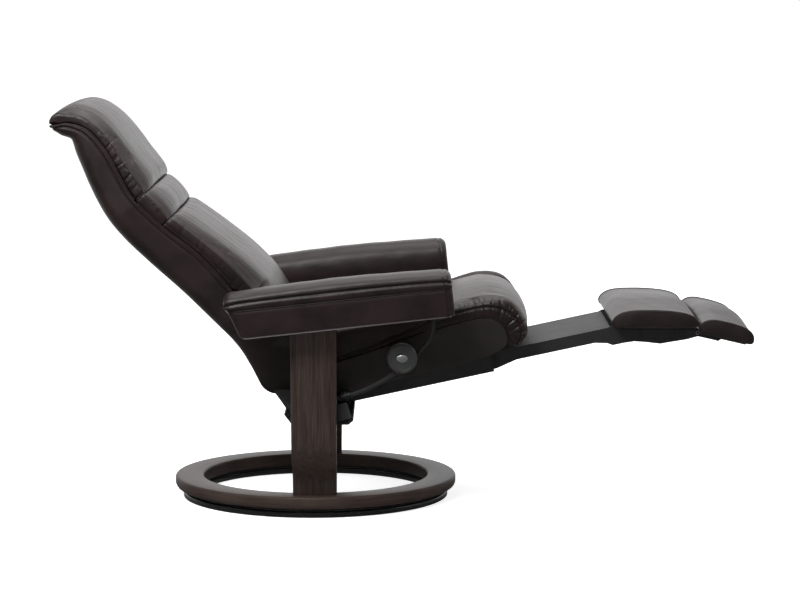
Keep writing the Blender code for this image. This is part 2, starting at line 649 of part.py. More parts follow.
class Chair:
    """Builds every piece of the chair and hands each to its moving group."""

    def __init__(self):
        self.group = collection("power_recliner")
        self.cutters = collection("cutters")
        self.floor = Body("floor_ring_body", CHAIR)
        self.cage = Body("ball_cage_body", CHAIR, self.floor)
        self.base = Body("base_body", CHAIR, self.floor)
        self.seat = Body("seat_body", GLIDE, self.base)
        self.back = Body("back_body", BACK, self.seat)
        self.head = Body("headrest_body", HEAD, self.back)
        self.beam = Body("leg_beam_body", LEG, self.seat)
        self.foot = Body("foot_pad_body", FOOT_HINGE, self.beam)
        self.tip = Body("end_pad_body", END_HINGE, self.foot)

    def piece(self, name, mesh, material, body, frame=CHAIR):
        """Add a piece whose mesh is drawn in a frame."""
        made = add_object(name, mesh, self.group, material)
        return body.carry(made, frame)

    def helper(self, name, mesh, frame=CHAIR):
        """Add a cutter or a joining shape, which isn't part of the chair."""
        made = add_object(name, mesh, self.cutters)
        made.matrix_basis = frame
        made.hide_render = True
        made.display_type = "WIRE"
        return made

    def combine(self, piece, other, operation):
        """Cut a piece with a helper, or join the helper to it."""
        step = piece.modifiers.new(other.name, "BOOLEAN")
        step.operation = operation
        step.object = other
        step.solver = "EXACT"
        return piece

    def build(self):
        """Build the chair from the floor up."""
        self.floor_ring()
        self.ball_cage()
        self.base_ring()
        for name, side in (("right", -1), ("left", 1)):
            self.upright(name, side)
            self.arm(name, side)
            self.guide_tube(name, side)
            self.guide_clamps(name, side)
            self.knob(name, side)
            self.side_panel(name, side)
            self.back_hinge(name, side)
        self.cross_channel()
        self.seat_parts()
        self.back_parts()
        self.head_parts()
        self.leg_housing()
        self.leg_drive()
        self.leg_beam()
        self.foot_pad_parts()
        self.end_pad_parts()
        self.switch()

    @staticmethod
    def race_groove():
        """Return the balls' height and the depth of the V groove that they run in."""
        race_low = RING_BOTTOM_Z - GAP - RACE_H
        middle = (FLOOR_RING_H + race_low) / 2
        return middle, math.sqrt(2) * (BALL_R + GAP) - (middle - FLOOR_RING_H)

    def floor_ring(self):
        """The ring that stays on the floor, with a groove for the balls."""
        depth = self.race_groove()[1]
        profile = [
            (FLOOR_RING_OUTER_R - FLOOR_RING_EDGE, FLOOR_RING_H),
            (FLOOR_RING_OUTER_R, FLOOR_RING_H - FLOOR_RING_EDGE),
            (FLOOR_RING_OUTER_R, 0),
            (FLOOR_RING_INNER_R, 0),
            (FLOOR_RING_INNER_R, FLOOR_RING_H),
            (BALL_PITCH_R - depth, FLOOR_RING_H),
            (BALL_PITCH_R, FLOOR_RING_H - depth),
            (BALL_PITCH_R + depth, FLOOR_RING_H),
        ]
        self.floor.carry(turned("floor_ring", profile, self.group, "black_plastic"), CHAIR)

    def ball_cage(self):
        """The bearing's cage, with its balls held in it."""
        middle = self.race_groove()[0]
        low = middle - CAGE_H / 2
        high = middle + CAGE_H / 2
        profile = [
            (BALL_PITCH_R + CAGE_HALF_W, high), (BALL_PITCH_R + CAGE_HALF_W, low),
            (BALL_PITCH_R - CAGE_HALF_W, low), (BALL_PITCH_R - CAGE_HALF_W, high)]
        cage = self.cage.carry(turned("ball_cage", profile, self.group, "bright_steel"), CHAIR)
        work = bmesh.new()
        for index in range(BALL_COUNT):
            turn = Matrix.Rotation(math.tau * (index * 2 + 1) / (BALL_COUNT * 2), 4, "Z")
            place = turn @ Matrix.Translation((BALL_PITCH_R, 0, middle))
            bmesh.ops.create_uvsphere(work, u_segments=6, v_segments=4, radius=BALL_R, matrix=place)
        balls = self.helper("balls", mesh_from("balls", work))
        self.combine(cage, balls, "UNION")

    def base_ring(self):
        """The wooden ring and the steel race under it."""
        top = RING_BOTTOM_Z + RING_H
        profile = arc(RING_OUTER_R - RING_EDGE_R, top - RING_EDGE_R, RING_EDGE_R, math.pi / 2, 0, 2)
        inner = RING_INNER_R + RING_EDGE_R
        under = RING_BOTTOM_Z + RING_UNDER_R
        profile += arc(RING_OUTER_R - RING_UNDER_R, under, RING_UNDER_R, 0, -math.pi / 2, 3)
        profile += arc(inner, RING_BOTTOM_Z + RING_EDGE_R, RING_EDGE_R, -math.pi / 2, -math.pi, 1)
        profile += arc(inner, top - RING_EDGE_R, RING_EDGE_R, math.pi, math.pi / 2, 2)
        self.base.carry(turned("base_ring", profile, self.group, "wood"), CHAIR)
        high = RING_BOTTOM_Z - GAP
        low = high - RACE_H
        depth = self.race_groove()[1]
        race = [
            (BALL_PITCH_R + RACE_HALF_W, high), (BALL_PITCH_R + RACE_HALF_W, low),
            (BALL_PITCH_R + depth, low), (BALL_PITCH_R, low + depth), (BALL_PITCH_R - depth, low),
            (BALL_PITCH_R - RACE_HALF_W, low), (BALL_PITCH_R - RACE_HALF_W, high)]
        self.base.carry(turned("upper_race", race, self.group, "bright_steel"), CHAIR)

    def upright(self, name, side):
        """A bent wooden upright between the ring and the arm."""
        foot_z = RING_BOTTOM_Z + RING_H + GAP
        rises = [step / UPRIGHT_BEND_STEPS for step in range(UPRIGHT_BEND_STEPS + 1)]
        levels = [(foot_z, UPRIGHT_FOOT_Y)]
        for rise in rises:
            share = (1 - math.cos(math.pi * rise)) / 2
            z = UPRIGHT_BEND_LOW_Z + (UPRIGHT_BEND_HIGH_Z - UPRIGHT_BEND_LOW_Z) * rise
            levels.append((z, UPRIGHT_FOOT_Y + (UPRIGHT_TOP_Y - UPRIGHT_FOOT_Y) * share))
        rings = []
        for end in (-1, 1):
            top_x = UPRIGHT_X + end * UPRIGHT_TOP_W / 2
            foot_x = UPRIGHT_X + end * UPRIGHT_FOOT_W / 2
            top_z = ARM_SEAT_Z + (top_x - ARM_SEAT_X) * math.tan(ARM_TILT) - GAP
            rows = levels + [(top_z, UPRIGHT_TOP_Y)]
            outer = []
            inner = []
            for z, y in rows:
                x = foot_x + (top_x - foot_x) * (z - foot_z) / (top_z - foot_z)
                outer.append((x, side * (y + UPRIGHT_T / 2), z))
                inner.append((x, side * (y - UPRIGHT_T / 2), z))
            rings.append(outer + inner[::-1])
        mesh = loft_mesh("upright_" + name, rings)
        smooth(mesh, 35)
        bevel(self.piece("upright_" + name, mesh, "wood", self.base), UPRIGHT_EDGE_R)

    def arm(self, name, side):
        """An arm's upholstered body and the pad on its top."""
        middle = side * ARM_Y
        rings = []
        for along, width, low in ARM_BODY_STATION_SHARES:
            x = -ARM_REAR + (ARM_REAR + ARM_FRONT) * along
            right = [(across, low + (1 - low) * up) for across, up in ARM_SECTION_SHARES]
            rings.append(self.section(x, middle, ARM_HALF_W * width, ARM_BODY_H, right, 0))
        body = self.piece("arm_body_" + name, loft_mesh("arm_body_" + name, rings), "leather", self.base, ARM)
        soften(body)
        rings = []
        for along, width, high in ARM_PAD_STATION_SHARES:
            x = -ARM_PAD_REAR + (ARM_PAD_REAR + ARM_PAD_FRONT) * along
            right = [(across, high * up) for across, up in ARM_PAD_SECTION_SHARES]
            floor = ARM_BODY_H + SOFT_GAP
            rings.append(self.section(x, middle, ARM_PAD_HALF_W * width, ARM_PAD_H, right, floor))
        pad = self.piece("arm_pad_" + name, loft_mesh("arm_pad_" + name, rings), "leather", self.base, ARM)
        soften(pad)

    @staticmethod
    def section(x, middle, half_width, height, half_shares, floor):
        """Return a closed ring across Y from the shares of its one side, bottom to top."""
        one = [(x, middle + half_width * across, floor + height * up) for across, up in half_shares]
        other = [(x, middle * 2 - y, z) for x, y, z in one if y > middle]
        return one + other[::-1]

    def guide_tube(self, name, side):
        """The bent steel tube that the seat glides on, with its flange under the arm."""
        start = -math.pi / 2 + GUIDE_REAR_ANGLE
        end = -math.pi / 2 + GUIDE_FRONT_ANGLE
        route = arc(GLIDE_X, GLIDE_Z, GUIDE_R, start, end, GUIDE_ARC_STEPS)
        last_x, last_z = route[-1]
        top_z = ARM_SEAT_Z + (GUIDE_TOP_X - ARM_SEAT_X) * math.tan(ARM_TILT) - GUIDE_FLANGE_T - GAP
        rise = top_z - last_z
        run = GUIDE_TOP_X - last_x
        route += [(last_x + run * along, last_z + rise * up) for along, up in GUIDE_TURN_SHARES]
        y = side * GUIDE_Y
        mesh = tube_mesh("guide_tube_" + name, [(x, y, z) for x, z in route], GUIDE_TUBE_R)
        tube = self.piece("guide_tube_" + name, mesh, "black_steel", self.base)
        flange_u, flange_w = in_frame(ARM, GUIDE_TOP_X, top_z)
        work = bmesh.new()
        bmesh.ops.create_cone(
            work, cap_ends=True, segments=SMALL_CIRCLE_STEPS, radius1=GUIDE_FLANGE_R, radius2=GUIDE_FLANGE_R,
            depth=GUIDE_FLANGE_T)
        bmesh.ops.translate(work, vec=(flange_u, y, -GAP - GUIDE_FLANGE_T / 2), verts=work.verts)
        flange = self.helper("guide_flange_" + name, mesh_from("guide_flange_" + name, work), ARM)
        self.combine(tube, flange, "UNION")

    def guide_clamps(self, name, side):
        """The two blocks that hold the seat to its guide tube."""
        inner = side * (PANEL_OUTER_Y + GAP)
        outer = side * CLAMP_OUTER_Y
        sizes = (("front", KNOB_ANGLE, CLAMP_FRONT_LENGTH), ("rear", CLAMP_REAR_ANGLE, CLAMP_REAR_LENGTH))
        for place, angle, length in sizes:
            frame = GLIDE @ Matrix.Rotation(-angle, 4, "Y")
            low = (-length / 2, min(inner, outer), -GUIDE_R - CLAMP_BELOW)
            high = (length / 2, max(inner, outer), -GUIDE_R + CLAMP_ABOVE)
            label = "guide_clamp_" + place + "_" + name
            block = self.piece(label, box_mesh(label, low, high), "black_plastic", self.seat, frame)
            bevel(block, CLAMP_EDGE_R, 1)
            reach = length / 2 + OVERRUN
            bore = bar_mesh("bore_" + label, CLAMP_BORE_R, -reach, reach, -GUIDE_R)
            bore.transform(Matrix.Translation((0, side * GUIDE_Y, 0)))
            self.combine(block, self.helper("bore_" + label, bore, frame), "DIFFERENCE")
            if place == "front":
                hole_low = side * (CLAMP_OUTER_Y - KNOB_BOLT_LENGTH + KNOB_BOLT_IN_KNOB - GAP)
                hole_high = side * (CLAMP_OUTER_Y + OVERRUN)
                hole = rod_mesh("hole_" + label, KNOB_BOLT_R + GAP, hole_low, hole_high, KNOB_X, KNOB_Z)
                self.combine(block, self.helper("hole_" + label, hole), "DIFFERENCE")

    def knob(self, name, side):
        """A friction knob with its silver cap and clamp bolt."""
        body = Body("knob_body_" + name, tilted(KNOB_X, KNOB_Z, 0), self.seat)
        face = CLAMP_OUTER_Y + GAP
        outer = face + KNOB_DEPTH
        bolt_end = face + KNOB_BOLT_IN_KNOB
        mesh = rod_mesh("knob_" + name, KNOB_R, side * face, side * outer, KNOB_X, KNOB_Z, CIRCLE_STEPS // 2)
        knob = self.piece("knob_" + name, mesh, "knob_plastic", body)
        bevel(knob, KNOB_EDGE_R)
        ends = (side * (face - OVERRUN), side * (bolt_end + GAP))
        hole = rod_mesh("knob_hole_" + name, KNOB_BOLT_R + GAP, *ends, KNOB_X, KNOB_Z)
        self.combine(knob, self.helper("knob_hole_" + name, hole), "DIFFERENCE")
        ends = (side * (bolt_end - KNOB_BOLT_LENGTH), side * bolt_end)
        bolt = rod_mesh("clamp_bolt_" + name, KNOB_BOLT_R, *ends, KNOB_X, KNOB_Z)
        self.piece("clamp_bolt_" + name, bolt, "bright_steel", body)
        ends = (side * (outer + GAP), side * (outer + GAP + KNOB_CAP_T))
        cap = rod_mesh("knob_cap_" + name, KNOB_CAP_HALF_L, *ends)
        cap.transform(Matrix.Translation((KNOB_X, 0, KNOB_Z)) @ Matrix.Diagonal(
            (1, 1, KNOB_CAP_HALF_H / KNOB_CAP_HALF_L, 1)))
        self.piece("knob_cap_" + name, cap, "silver", body)

    def side_panel(self, name, side):
        """The covered board at a side of the seat, under the cushion's edge."""
        line = offset_line(eased(scaled(SEAT_UNDER_SHARES, SEAT_LENGTH, -SEAT_BOARD_H)), SOFT_GAP)
        under = [(PANEL_REAR + x, z) for x, z in scaled(PANEL_UNDER_SHARES, PANEL_LENGTH, -PANEL_DROP)]
        outline = [(x, z) for x, z in line if x > PANEL_REAR and z > under[0][1]] + under
        mesh = plate_mesh("seat_side_panel_" + name, outline, side * PANEL_INNER_Y, side * PANEL_OUTER_Y)
        panel = self.piece("seat_side_panel_" + name, mesh, "side_leather", self.seat, SEAT)
        bevel(panel, PANEL_EDGE_R)

    def back_hinge(self, name, side):
        """The plate on the seat, the bracket on the back and the pin through both."""
        ends = (side * HINGE_PLATE_Y, side * (HINGE_PLATE_Y + HINGE_PLATE_T))
        outline = arc(0, 0, HINGE_BRACKET_R, 0, math.pi, 8)
        outline += [
            (-HINGE_BRACKET_R, -HINGE_PLATE_DROP / 2), (PAN_REAR, -HINGE_PLATE_DROP),
            (HINGE_PLATE_REACH, -HINGE_PLATE_DROP), (HINGE_PLATE_REACH, -PAN_UNDER),
            (HINGE_BRACKET_R, -PAN_UNDER)]
        mesh = plate_mesh("hinge_plate_" + name, outline, *ends)
        plate = self.piece("hinge_plate_" + name, mesh, "black_steel", self.seat, SEAT)
        outline = arc(0, 0, HINGE_BRACKET_R, -math.pi, 0, 8)
        low = NECK_W + BOARD_T / 2
        outline += [(low + HINGE_BRACKET_R, HINGE_BRACKET_REACH), (low - BOARD_T * 2, HINGE_BRACKET_REACH)]
        ends = (side * HINGE_BRACKET_Y, side * (HINGE_BRACKET_Y + HINGE_BRACKET_T))
        mesh = plate_mesh("back_bracket_" + name, outline, *ends)
        bracket = self.piece("back_bracket_" + name, mesh, "black_steel", self.back, BACK)
        reach = side * (HINGE_PIN_OUTER_Y + OVERRUN)
        ends = (side * BACK_HALF_W / 2, reach)
        hole = rod_mesh("hinge_hole_" + name, HINGE_PIN_R + GAP, *ends, PIVOT_X, PIVOT_Z)
        hole = self.helper("hinge_hole_" + name, hole)
        self.combine(plate, hole, "DIFFERENCE")
        self.combine(bracket, hole, "DIFFERENCE")
        ends = (side * HINGE_PIN_INNER_Y, side * HINGE_PIN_OUTER_Y)
        pin = rod_mesh("back_hinge_pin_" + name, HINGE_PIN_R, *ends, PIVOT_X, PIVOT_Z)
        self.piece("back_hinge_pin_" + name, pin, "bright_steel", self.seat)

    def cross_channel(self):
        """The folded steel channel that ties the uprights together and holds the guide tubes' rear ends."""
        path = [
            (CHANNEL_REAR_X - CHANNEL_LIP_RUN, CHANNEL_Z + CHANNEL_LIP_RISE),
            (CHANNEL_REAR_X, CHANNEL_Z), (CHANNEL_FRONT_X, CHANNEL_Z),
            (CHANNEL_FRONT_X + CHANNEL_TURN_RUN, CHANNEL_Z + CHANNEL_TURN_RISE)]
        work = bmesh.new()
        rows = [[work.verts.new((x, y, z)) for x, z in path] for y in (-CHANNEL_HALF_L, CHANNEL_HALF_L)]
        for index in range(len(path) - 1):
            work.faces.new((rows[0][index], rows[0][index + 1], rows[1][index + 1], rows[1][index]))
        channel = self.piece("cross_channel", mesh_from("cross_channel", work), "black_steel", self.base)
        wall = channel.modifiers.new("wall", "SOLIDIFY")
        wall.thickness = CHANNEL_T
        wall.offset = 0
        straight_down = -math.pi / 2
        ends = (straight_down + END_PLATE_REAR_ANGLE, straight_down + END_PLATE_FRONT_ANGLE)
        outline = arc(GLIDE_X, GLIDE_Z, END_PLATE_OUTER_R, *ends, GUIDE_ARC_STEPS // 2)
        outline += arc(GLIDE_X, GLIDE_Z, END_PLATE_INNER_R, *ends[::-1], GUIDE_ARC_STEPS // 2)
        tip = straight_down + END_PLATE_TIP_ANGLE
        heel = straight_down + END_PLATE_HEEL_ANGLE
        outline += arc(GLIDE_X, GLIDE_Z, END_PLATE_INNER_R - END_PLATE_TIP_RISE, tip, tip, 1)[:1]
        outline += arc(GLIDE_X, GLIDE_Z, END_PLATE_INNER_R + END_PLATE_HEEL_DROP, heel, heel, 1)[:1]
        for name, side in (("right", -1), ("left", 1)):
            outer = side * (UPRIGHT_TOP_Y - UPRIGHT_T / 2 - GAP)
            mesh = plate_mesh("end_plate_" + name, outline, outer - side * END_PLATE_T, outer)
            self.combine(channel, self.helper("end_plate_" + name, mesh), "UNION")
            inner = side * SOCKET_INNER_Y
            low = (-SOCKET_LENGTH - GAP, min(inner, outer), -GUIDE_R - SOCKET_H / 2)
            high = (-GAP, max(inner, outer), -GUIDE_R + SOCKET_H / 2)
            mesh = box_mesh("tube_socket_" + name, low, high)
            frame = GLIDE @ Matrix.Rotation(-GUIDE_REAR_ANGLE, 4, "Y")
            socket = self.helper("tube_socket_" + name, mesh, frame)
            self.combine(channel, socket, "UNION")

    def seat_parts(self):
        """The seat's cushion, its shaped pan and the steel tray that carries both."""
        under = scaled(SEAT_UNDER_SHARES, SEAT_LENGTH, -SEAT_BOARD_H)
        top = scaled(SEAT_TOP_SHARES, SEAT_LENGTH, -SEAT_DROP)
        rings = []
        for across, lift in SEAT_STATION_SHARES:
            y = SEAT_HALF_W * across
            ring = [(x, y, z) for x, z in under]
            for x, z in top:
                depth = 1 - min(1, abs(z) / SEAT_DROP)
                pull = SEAT_BOARD_H * lift
                ring.append((x + pull * min(1, abs(z) / SEAT_BOARD_H), y, z + pull * depth))
            rings.append(ring)
        mesh = loft_mesh("seat_cushion", rings, open_start=True)
        soften(self.piece("seat_cushion", mesh, "leather", self.seat, SEAT), mirrored=True)
        line = offset_line(eased(under), SOFT_GAP)
        board = [(PAN_REAR, between(line, PAN_REAR))]
        board += [(x, z) for x, z in line if PAN_REAR < x < PAN_FRONT]
        board += [(PAN_FRONT, between(line, PAN_FRONT)), (PAN_FRONT, -PAN_UNDER), (PAN_REAR, -PAN_UNDER)]
        mesh = plate_mesh("seat_pan", board, -PAN_HALF_W, PAN_HALF_W)
        self.piece("seat_pan", mesh, "frame_board", self.seat, SEAT)
        low = (TRAY_REAR, -TRAY_HALF_W, -TRAY_UNDER)
        high = (TRAY_FRONT, TRAY_HALF_W, -PAN_UNDER - GAP)
        tray = self.piece("seat_tray", box_mesh("seat_tray", low, high), "black_steel", self.seat, SEAT)
        inside_low = [value + TRAY_WALL for value in low]
        inside_high = (high[0] - TRAY_WALL, high[1] - TRAY_WALL, high[2] + OVERRUN)
        inside = self.helper("tray_inside", box_mesh("tray_inside", inside_low, inside_high), SEAT)
        self.combine(tray, inside, "DIFFERENCE")

    @staticmethod
    def back_half_width(height):
        """Return the back's half width at a height along it: slim beside the hinge and at the top."""
        table = (
            (BACK_NARROW_BELOW_U, BACK_FOOT_HALF_W), (BACK_WIDE_FROM_U, BACK_HALF_W), (NECK_U, BACK_HALF_W),
            (NECK_U + HEAD_RISE, HEAD_TOP_HALF_W))
        return between(table, height)

    def back_loft(self, name, fixed, moving, stations, body, divide):
        """A piece of the back: its fixed side lies on the frame, its moving side swells to the middle."""
        rings = []
        for across, depth in stations:
            ring = []
            for height, offset in fixed:
                ring.append((offset, self.back_half_width(height) * across, height))
            for height, offset in moving:
                base = between(divide, height)
                deep = base + (offset - base) * depth
                ring.append((deep, self.back_half_width(height) * across, height))
            rings.append(ring)
        mesh = loft_mesh(name, rings, open_start=True)
        return soften(self.piece(name, mesh, "leather", body, BACK), mirrored=True)

    def back_parts(self):
        """The back's rear shell, its frame board, its cushion and the neck pad above it."""
        divide = scaled(DIVIDE_SHARES, NECK_U, -BACK_DEPTH)
        front = [(height, offset + BOARD_T / 2 + SOFT_GAP) for height, offset in divide]
        rear = [(height, offset - BOARD_T / 2 - SOFT_GAP) for height, offset in divide]
        shell_rear = scaled(SHELL_REAR_SHARES, NECK_U, -BACK_DEPTH)
        self.back_loft("back_shell", rear[::-1], shell_rear, SHELL_STATION_SHARES, self.back, divide)
        cushion_rear = [point for point in front if 0 <= point[0] < CUSHION_TOP_U - PAD_GAP]
        cushion_rear.append((CUSHION_TOP_U, between(eased(front), CUSHION_TOP_U) + SOFT_GAP))
        cushion_front = scaled(CUSHION_FRONT_SHARES, CUSHION_TOP_U, -BACK_DEPTH)
        self.back_loft("back_cushion", cushion_rear, cushion_front, PAD_STATION_SHARES, self.back, divide)
        levels = (NECK_PAD_LOW_U, NECK_PAD_TOP_U)
        neck_rear = [(height, between(front, height)) for height in levels]
        neck_front = scaled(NECK_FRONT_SHARES, NECK_PAD_H, -BACK_DEPTH)
        neck_front = [(NECK_PAD_LOW_U + height, offset) for height, offset in neck_front]
        self.back_loft("neck_cushion", neck_rear, neck_front, PAD_STATION_SHARES, self.back, divide)
        self.frame_board("back_frame", divide, BACK_FRAME_LOW_U, NECK_U - BOARD_T / 2 - GAP, self.back)
        rod = rod_mesh("neck_hinge_rod", BOARD_T / 2, -NECK_ROD_HALF_L, NECK_ROD_HALF_L, NECK_W, NECK_U)
        self.piece("neck_hinge_rod", rod, "bright_steel", self.back, BACK)

    def frame_board(self, name, divide, low, high, body):
        """A board of even thickness along the line between shell and cushions."""
        divide = eased(divide)
        heights = [low] + [height for height, offset in divide if low < height < high] + [high]
        line = [(height, between(divide, height)) for height in heights]
        outline = [(offset + BOARD_T / 2, height) for height, offset in line]
        outline += [(offset - BOARD_T / 2, height) for height, offset in reversed(line)]
        half = BACK_FRAME_HALF_W if body is self.back else HEAD_TOP_HALF_W - BOARD_T
        self.piece(name, plate_mesh(name, outline, -half, half), "frame_board", body, BACK)

    def head_parts(self):
        """The headrest: its rear shell with the curled lip, its frame board and its cushion."""
        divide = scaled(HEAD_DIVIDE_SHARES, HEAD_RISE, -BACK_DEPTH)
        divide = [(NECK_U + height, offset) for height, offset in divide]
        front = [(height, offset + BOARD_T / 2 + SOFT_GAP) for height, offset in divide]
        rear = [(height, offset - BOARD_T / 2 - SOFT_GAP) for height, offset in divide]
        shell_rear = [
            (NECK_U + height, offset)
            for height, offset in scaled(HEAD_SHELL_REAR_SHARES, HEAD_RISE, -BACK_DEPTH)]
        rear[0] = (HEAD_LOW_U, rear[0][1])
        self.back_loft("head_shell", rear, shell_rear, SHELL_STATION_SHARES, self.head, divide)
        head_front = [
            (NECK_U + height, offset) for height, offset in scaled(HEAD_FRONT_SHARES, HEAD_RISE, -BACK_DEPTH)]
        front[0] = (HEAD_LOW_U, front[0][1])
        self.back_loft("head_cushion", front, head_front, PAD_STATION_SHARES, self.head, divide)
        self.frame_board("head_frame", divide, NECK_U + BOARD_T / 2 + GAP, HEAD_FRAME_TOP_U, self.head)

    def leg_housing(self):
        """The steel channel under the seat that holds the footrest's slide."""
        top = [in_frame(LEG, *plane_point(SEAT, x, -TRAY_UNDER - GAP)) for x in (TRAY_REAR, TRAY_FRONT)]
        slope = (top[1][1] - top[0][1]) / (top[1][0] - top[0][0])
        rear_top = top[0][1] + slope * (HOUSING_REAR - top[0][0])
        front_top = top[0][1] + slope * (HOUSING_FRONT - top[0][0])
        outline = [
            (HOUSING_REAR, HOUSING_BOTTOM), (HOUSING_FRONT, HOUSING_BOTTOM), (HOUSING_FRONT, front_top),
            (HOUSING_REAR, rear_top)]
        mesh = plate_mesh("leg_housing", outline, -HOUSING_HALF_W, HOUSING_HALF_W)
        housing = self.piece("leg_housing", mesh, "black_steel", self.seat, LEG)
        inner = HOUSING_HALF_W - HOUSING_WALL
        low = (HOUSING_REAR - OVERRUN, -inner, HOUSING_BOTTOM + HOUSING_WALL)
        high = (HOUSING_FRONT + OVERRUN, inner, front_top + OVERRUN)
        inside = self.helper("housing_inside", box_mesh("housing_inside", low, high), LEG)
        self.combine(housing, inside, "DIFFERENCE")

    def leg_drive(self):
        """The footrest's motor, its spindle tube, its rod and its power inlet."""
        foot_top = HOUSING_BOTTOM - GAP
        low = foot_top - MOTOR_FOOT_T
        step = MOTOR_REAR + MOTOR_BODY_L
        outline = [
            (MOTOR_REAR, low), (MOTOR_FRONT, low), (MOTOR_FRONT, foot_top), (step, foot_top),
            (step, MOTOR_TOP), (MOTOR_REAR, MOTOR_TOP)]
        mesh = plate_mesh("leg_motor", outline, -MOTOR_HALF_W, MOTOR_HALF_W)
        motor = self.piece("leg_motor", mesh, "black_plastic", self.seat, LEG)
        bevel(motor, CLAMP_EDGE_R)
        mesh = bar_mesh("actuator_tube", ACTUATOR_TUBE_R, ACTUATOR_TUBE_REAR, ACTUATOR_TUBE_FRONT, ACTUATOR_W)
        tube = self.piece("actuator_tube", mesh, "bright_steel", self.seat, LEG)
        saddle_top = ACTUATOR_W - ACTUATOR_TUBE_BORE_R
        front_start = ACTUATOR_TUBE_FRONT - ACTUATOR_TUBE_R * 2
        for place, start in (("rear", ACTUATOR_TUBE_REAR), ("front", front_start)):
            low = (start, -ACTUATOR_TUBE_R, HOUSING_BOTTOM + HOUSING_WALL + GAP)
            high = (start + ACTUATOR_TUBE_R * 2, ACTUATOR_TUBE_R, saddle_top)
            saddle = self.helper("tube_saddle_" + place, box_mesh("tube_saddle_" + place, low, high), LEG)
            self.combine(tube, saddle, "UNION")
        bore_rear = ACTUATOR_TUBE_REAR + HOUSING_WALL
        bore = bar_mesh(
            "actuator_bore", ACTUATOR_TUBE_BORE_R, bore_rear, ACTUATOR_TUBE_FRONT + OVERRUN, ACTUATOR_W)
        self.combine(tube, self.helper("actuator_bore", bore, LEG), "DIFFERENCE")
        mesh = bar_mesh("actuator_rod", ACTUATOR_ROD_R, ACTUATOR_ROD_REAR, ACTUATOR_ROD_FRONT, ACTUATOR_W)
        rod = self.piece("actuator_rod", mesh, "bright_steel", self.beam, LEG)
        low = (ACTUATOR_ROD_FRONT - ACTUATOR_CLIP_T, -ACTUATOR_TUBE_R, ACTUATOR_W - ACTUATOR_ROD_R)
        high = (ACTUATOR_ROD_FRONT, ACTUATOR_TUBE_R, BEAM_TOP - BEAM_PLATE_T - GAP)
        clip = self.helper("rod_clip", box_mesh("rod_clip", low, high), LEG)
        self.combine(rod, clip, "UNION")
        inlet = bar_mesh(
            "power_inlet", INLET_R, MOTOR_REAR - GAP - INLET_LENGTH, MOTOR_REAR - GAP, ACTUATOR_W)
        inlet_piece = self.piece("power_inlet", inlet, "black_plastic", self.seat, LEG)
        hole = bar_mesh(
            "inlet_hole", INLET_R / 2, MOTOR_REAR - INLET_LENGTH - OVERRUN, MOTOR_REAR - INLET_LENGTH / 2,
            ACTUATOR_W)
        self.combine(inlet_piece, self.helper("inlet_hole", hole, LEG), "DIFFERENCE")

    def leg_beam(self):
        """The sliding beam, a sheet channel open below, and the pin at its front end."""
        hinge_u, hinge_w = in_frame(LEG, FOOT_HINGE_X, FOOT_HINGE_Z)
        outline = [
            (BEAM_REAR, BEAM_BOTTOM), (BEAM_REAR, BEAM_TOP), (BEAM_PLATE_END, BEAM_TOP),
            (BEAM_PLATE_END, BEAM_CHEEK_TOP)]
        reach = math.asin((BEAM_CHEEK_TOP - hinge_w) / FOOT_HINGE_CHEEK_R)
        outline += arc(hinge_u, hinge_w, FOOT_HINGE_CHEEK_R, reach, -CHEEK_TURN, 6)
        outline += [
            (hinge_u - FOOT_HINGE_CHEEK_R / 2, BEAM_STEP_BOTTOM), (BEAM_STEP_TO, BEAM_STEP_BOTTOM),
            (BEAM_STEP_FROM, BEAM_SLIM_BOTTOM), (BEAM_TAPER_TO, BEAM_SLIM_BOTTOM),
            (BEAM_TAPER_FROM, BEAM_BOTTOM)]
        mesh = plate_mesh("leg_beam", outline, -BEAM_HALF_W, BEAM_HALF_W)
        beam = self.piece("leg_beam", mesh, "black_steel", self.beam, LEG)
        inner = BEAM_HALF_W - BEAM_CHEEK_T
        low = (BEAM_REAR - OVERRUN, -inner, BEAM_STEP_BOTTOM - OVERRUN)
        high = (hinge_u + FOOT_HINGE_CHEEK_R + OVERRUN, inner, BEAM_TOP - BEAM_PLATE_T)
        inside = self.helper("beam_inside", box_mesh("beam_inside", low, high), LEG)
        self.combine(beam, inside, "DIFFERENCE")
        reach = BEAM_HALF_W + OVERRUN
        hole = rod_mesh("foot_hinge_hole", FOOT_HINGE_PIN_R + GAP, -reach, reach, FOOT_HINGE_X, FOOT_HINGE_Z)
        self.foot_hinge_hole = self.helper("foot_hinge_hole", hole)
        self.combine(beam, self.foot_hinge_hole, "DIFFERENCE")
        ends = (-BEAM_HALF_W, BEAM_HALF_W)
        pin = rod_mesh("foot_hinge_pin", FOOT_HINGE_PIN_R, *ends, FOOT_HINGE_X, FOOT_HINGE_Z)
        self.piece("foot_hinge_pin", pin, "bright_steel", self.beam)

    def pad(self, name, shares, x, z, length, height, half_width, body, frame):
        """A foot pad: a D-shaped outline carried across Y with nearly flat sides."""
        rings = []
        for across, fill in FOOT_PAD_STATION_SHARES:
            ring = []
            for along, up in shares:
                middle = (1 + (along * 2 - 1) * fill) / 2
                ring.append((x + length * middle, half_width * across, z + height * up * fill))
            rings.append(ring)
        mesh = loft_mesh(name, rings, open_start=True)
        return soften(self.piece(name, mesh, "leather", body, frame), mirrored=True)

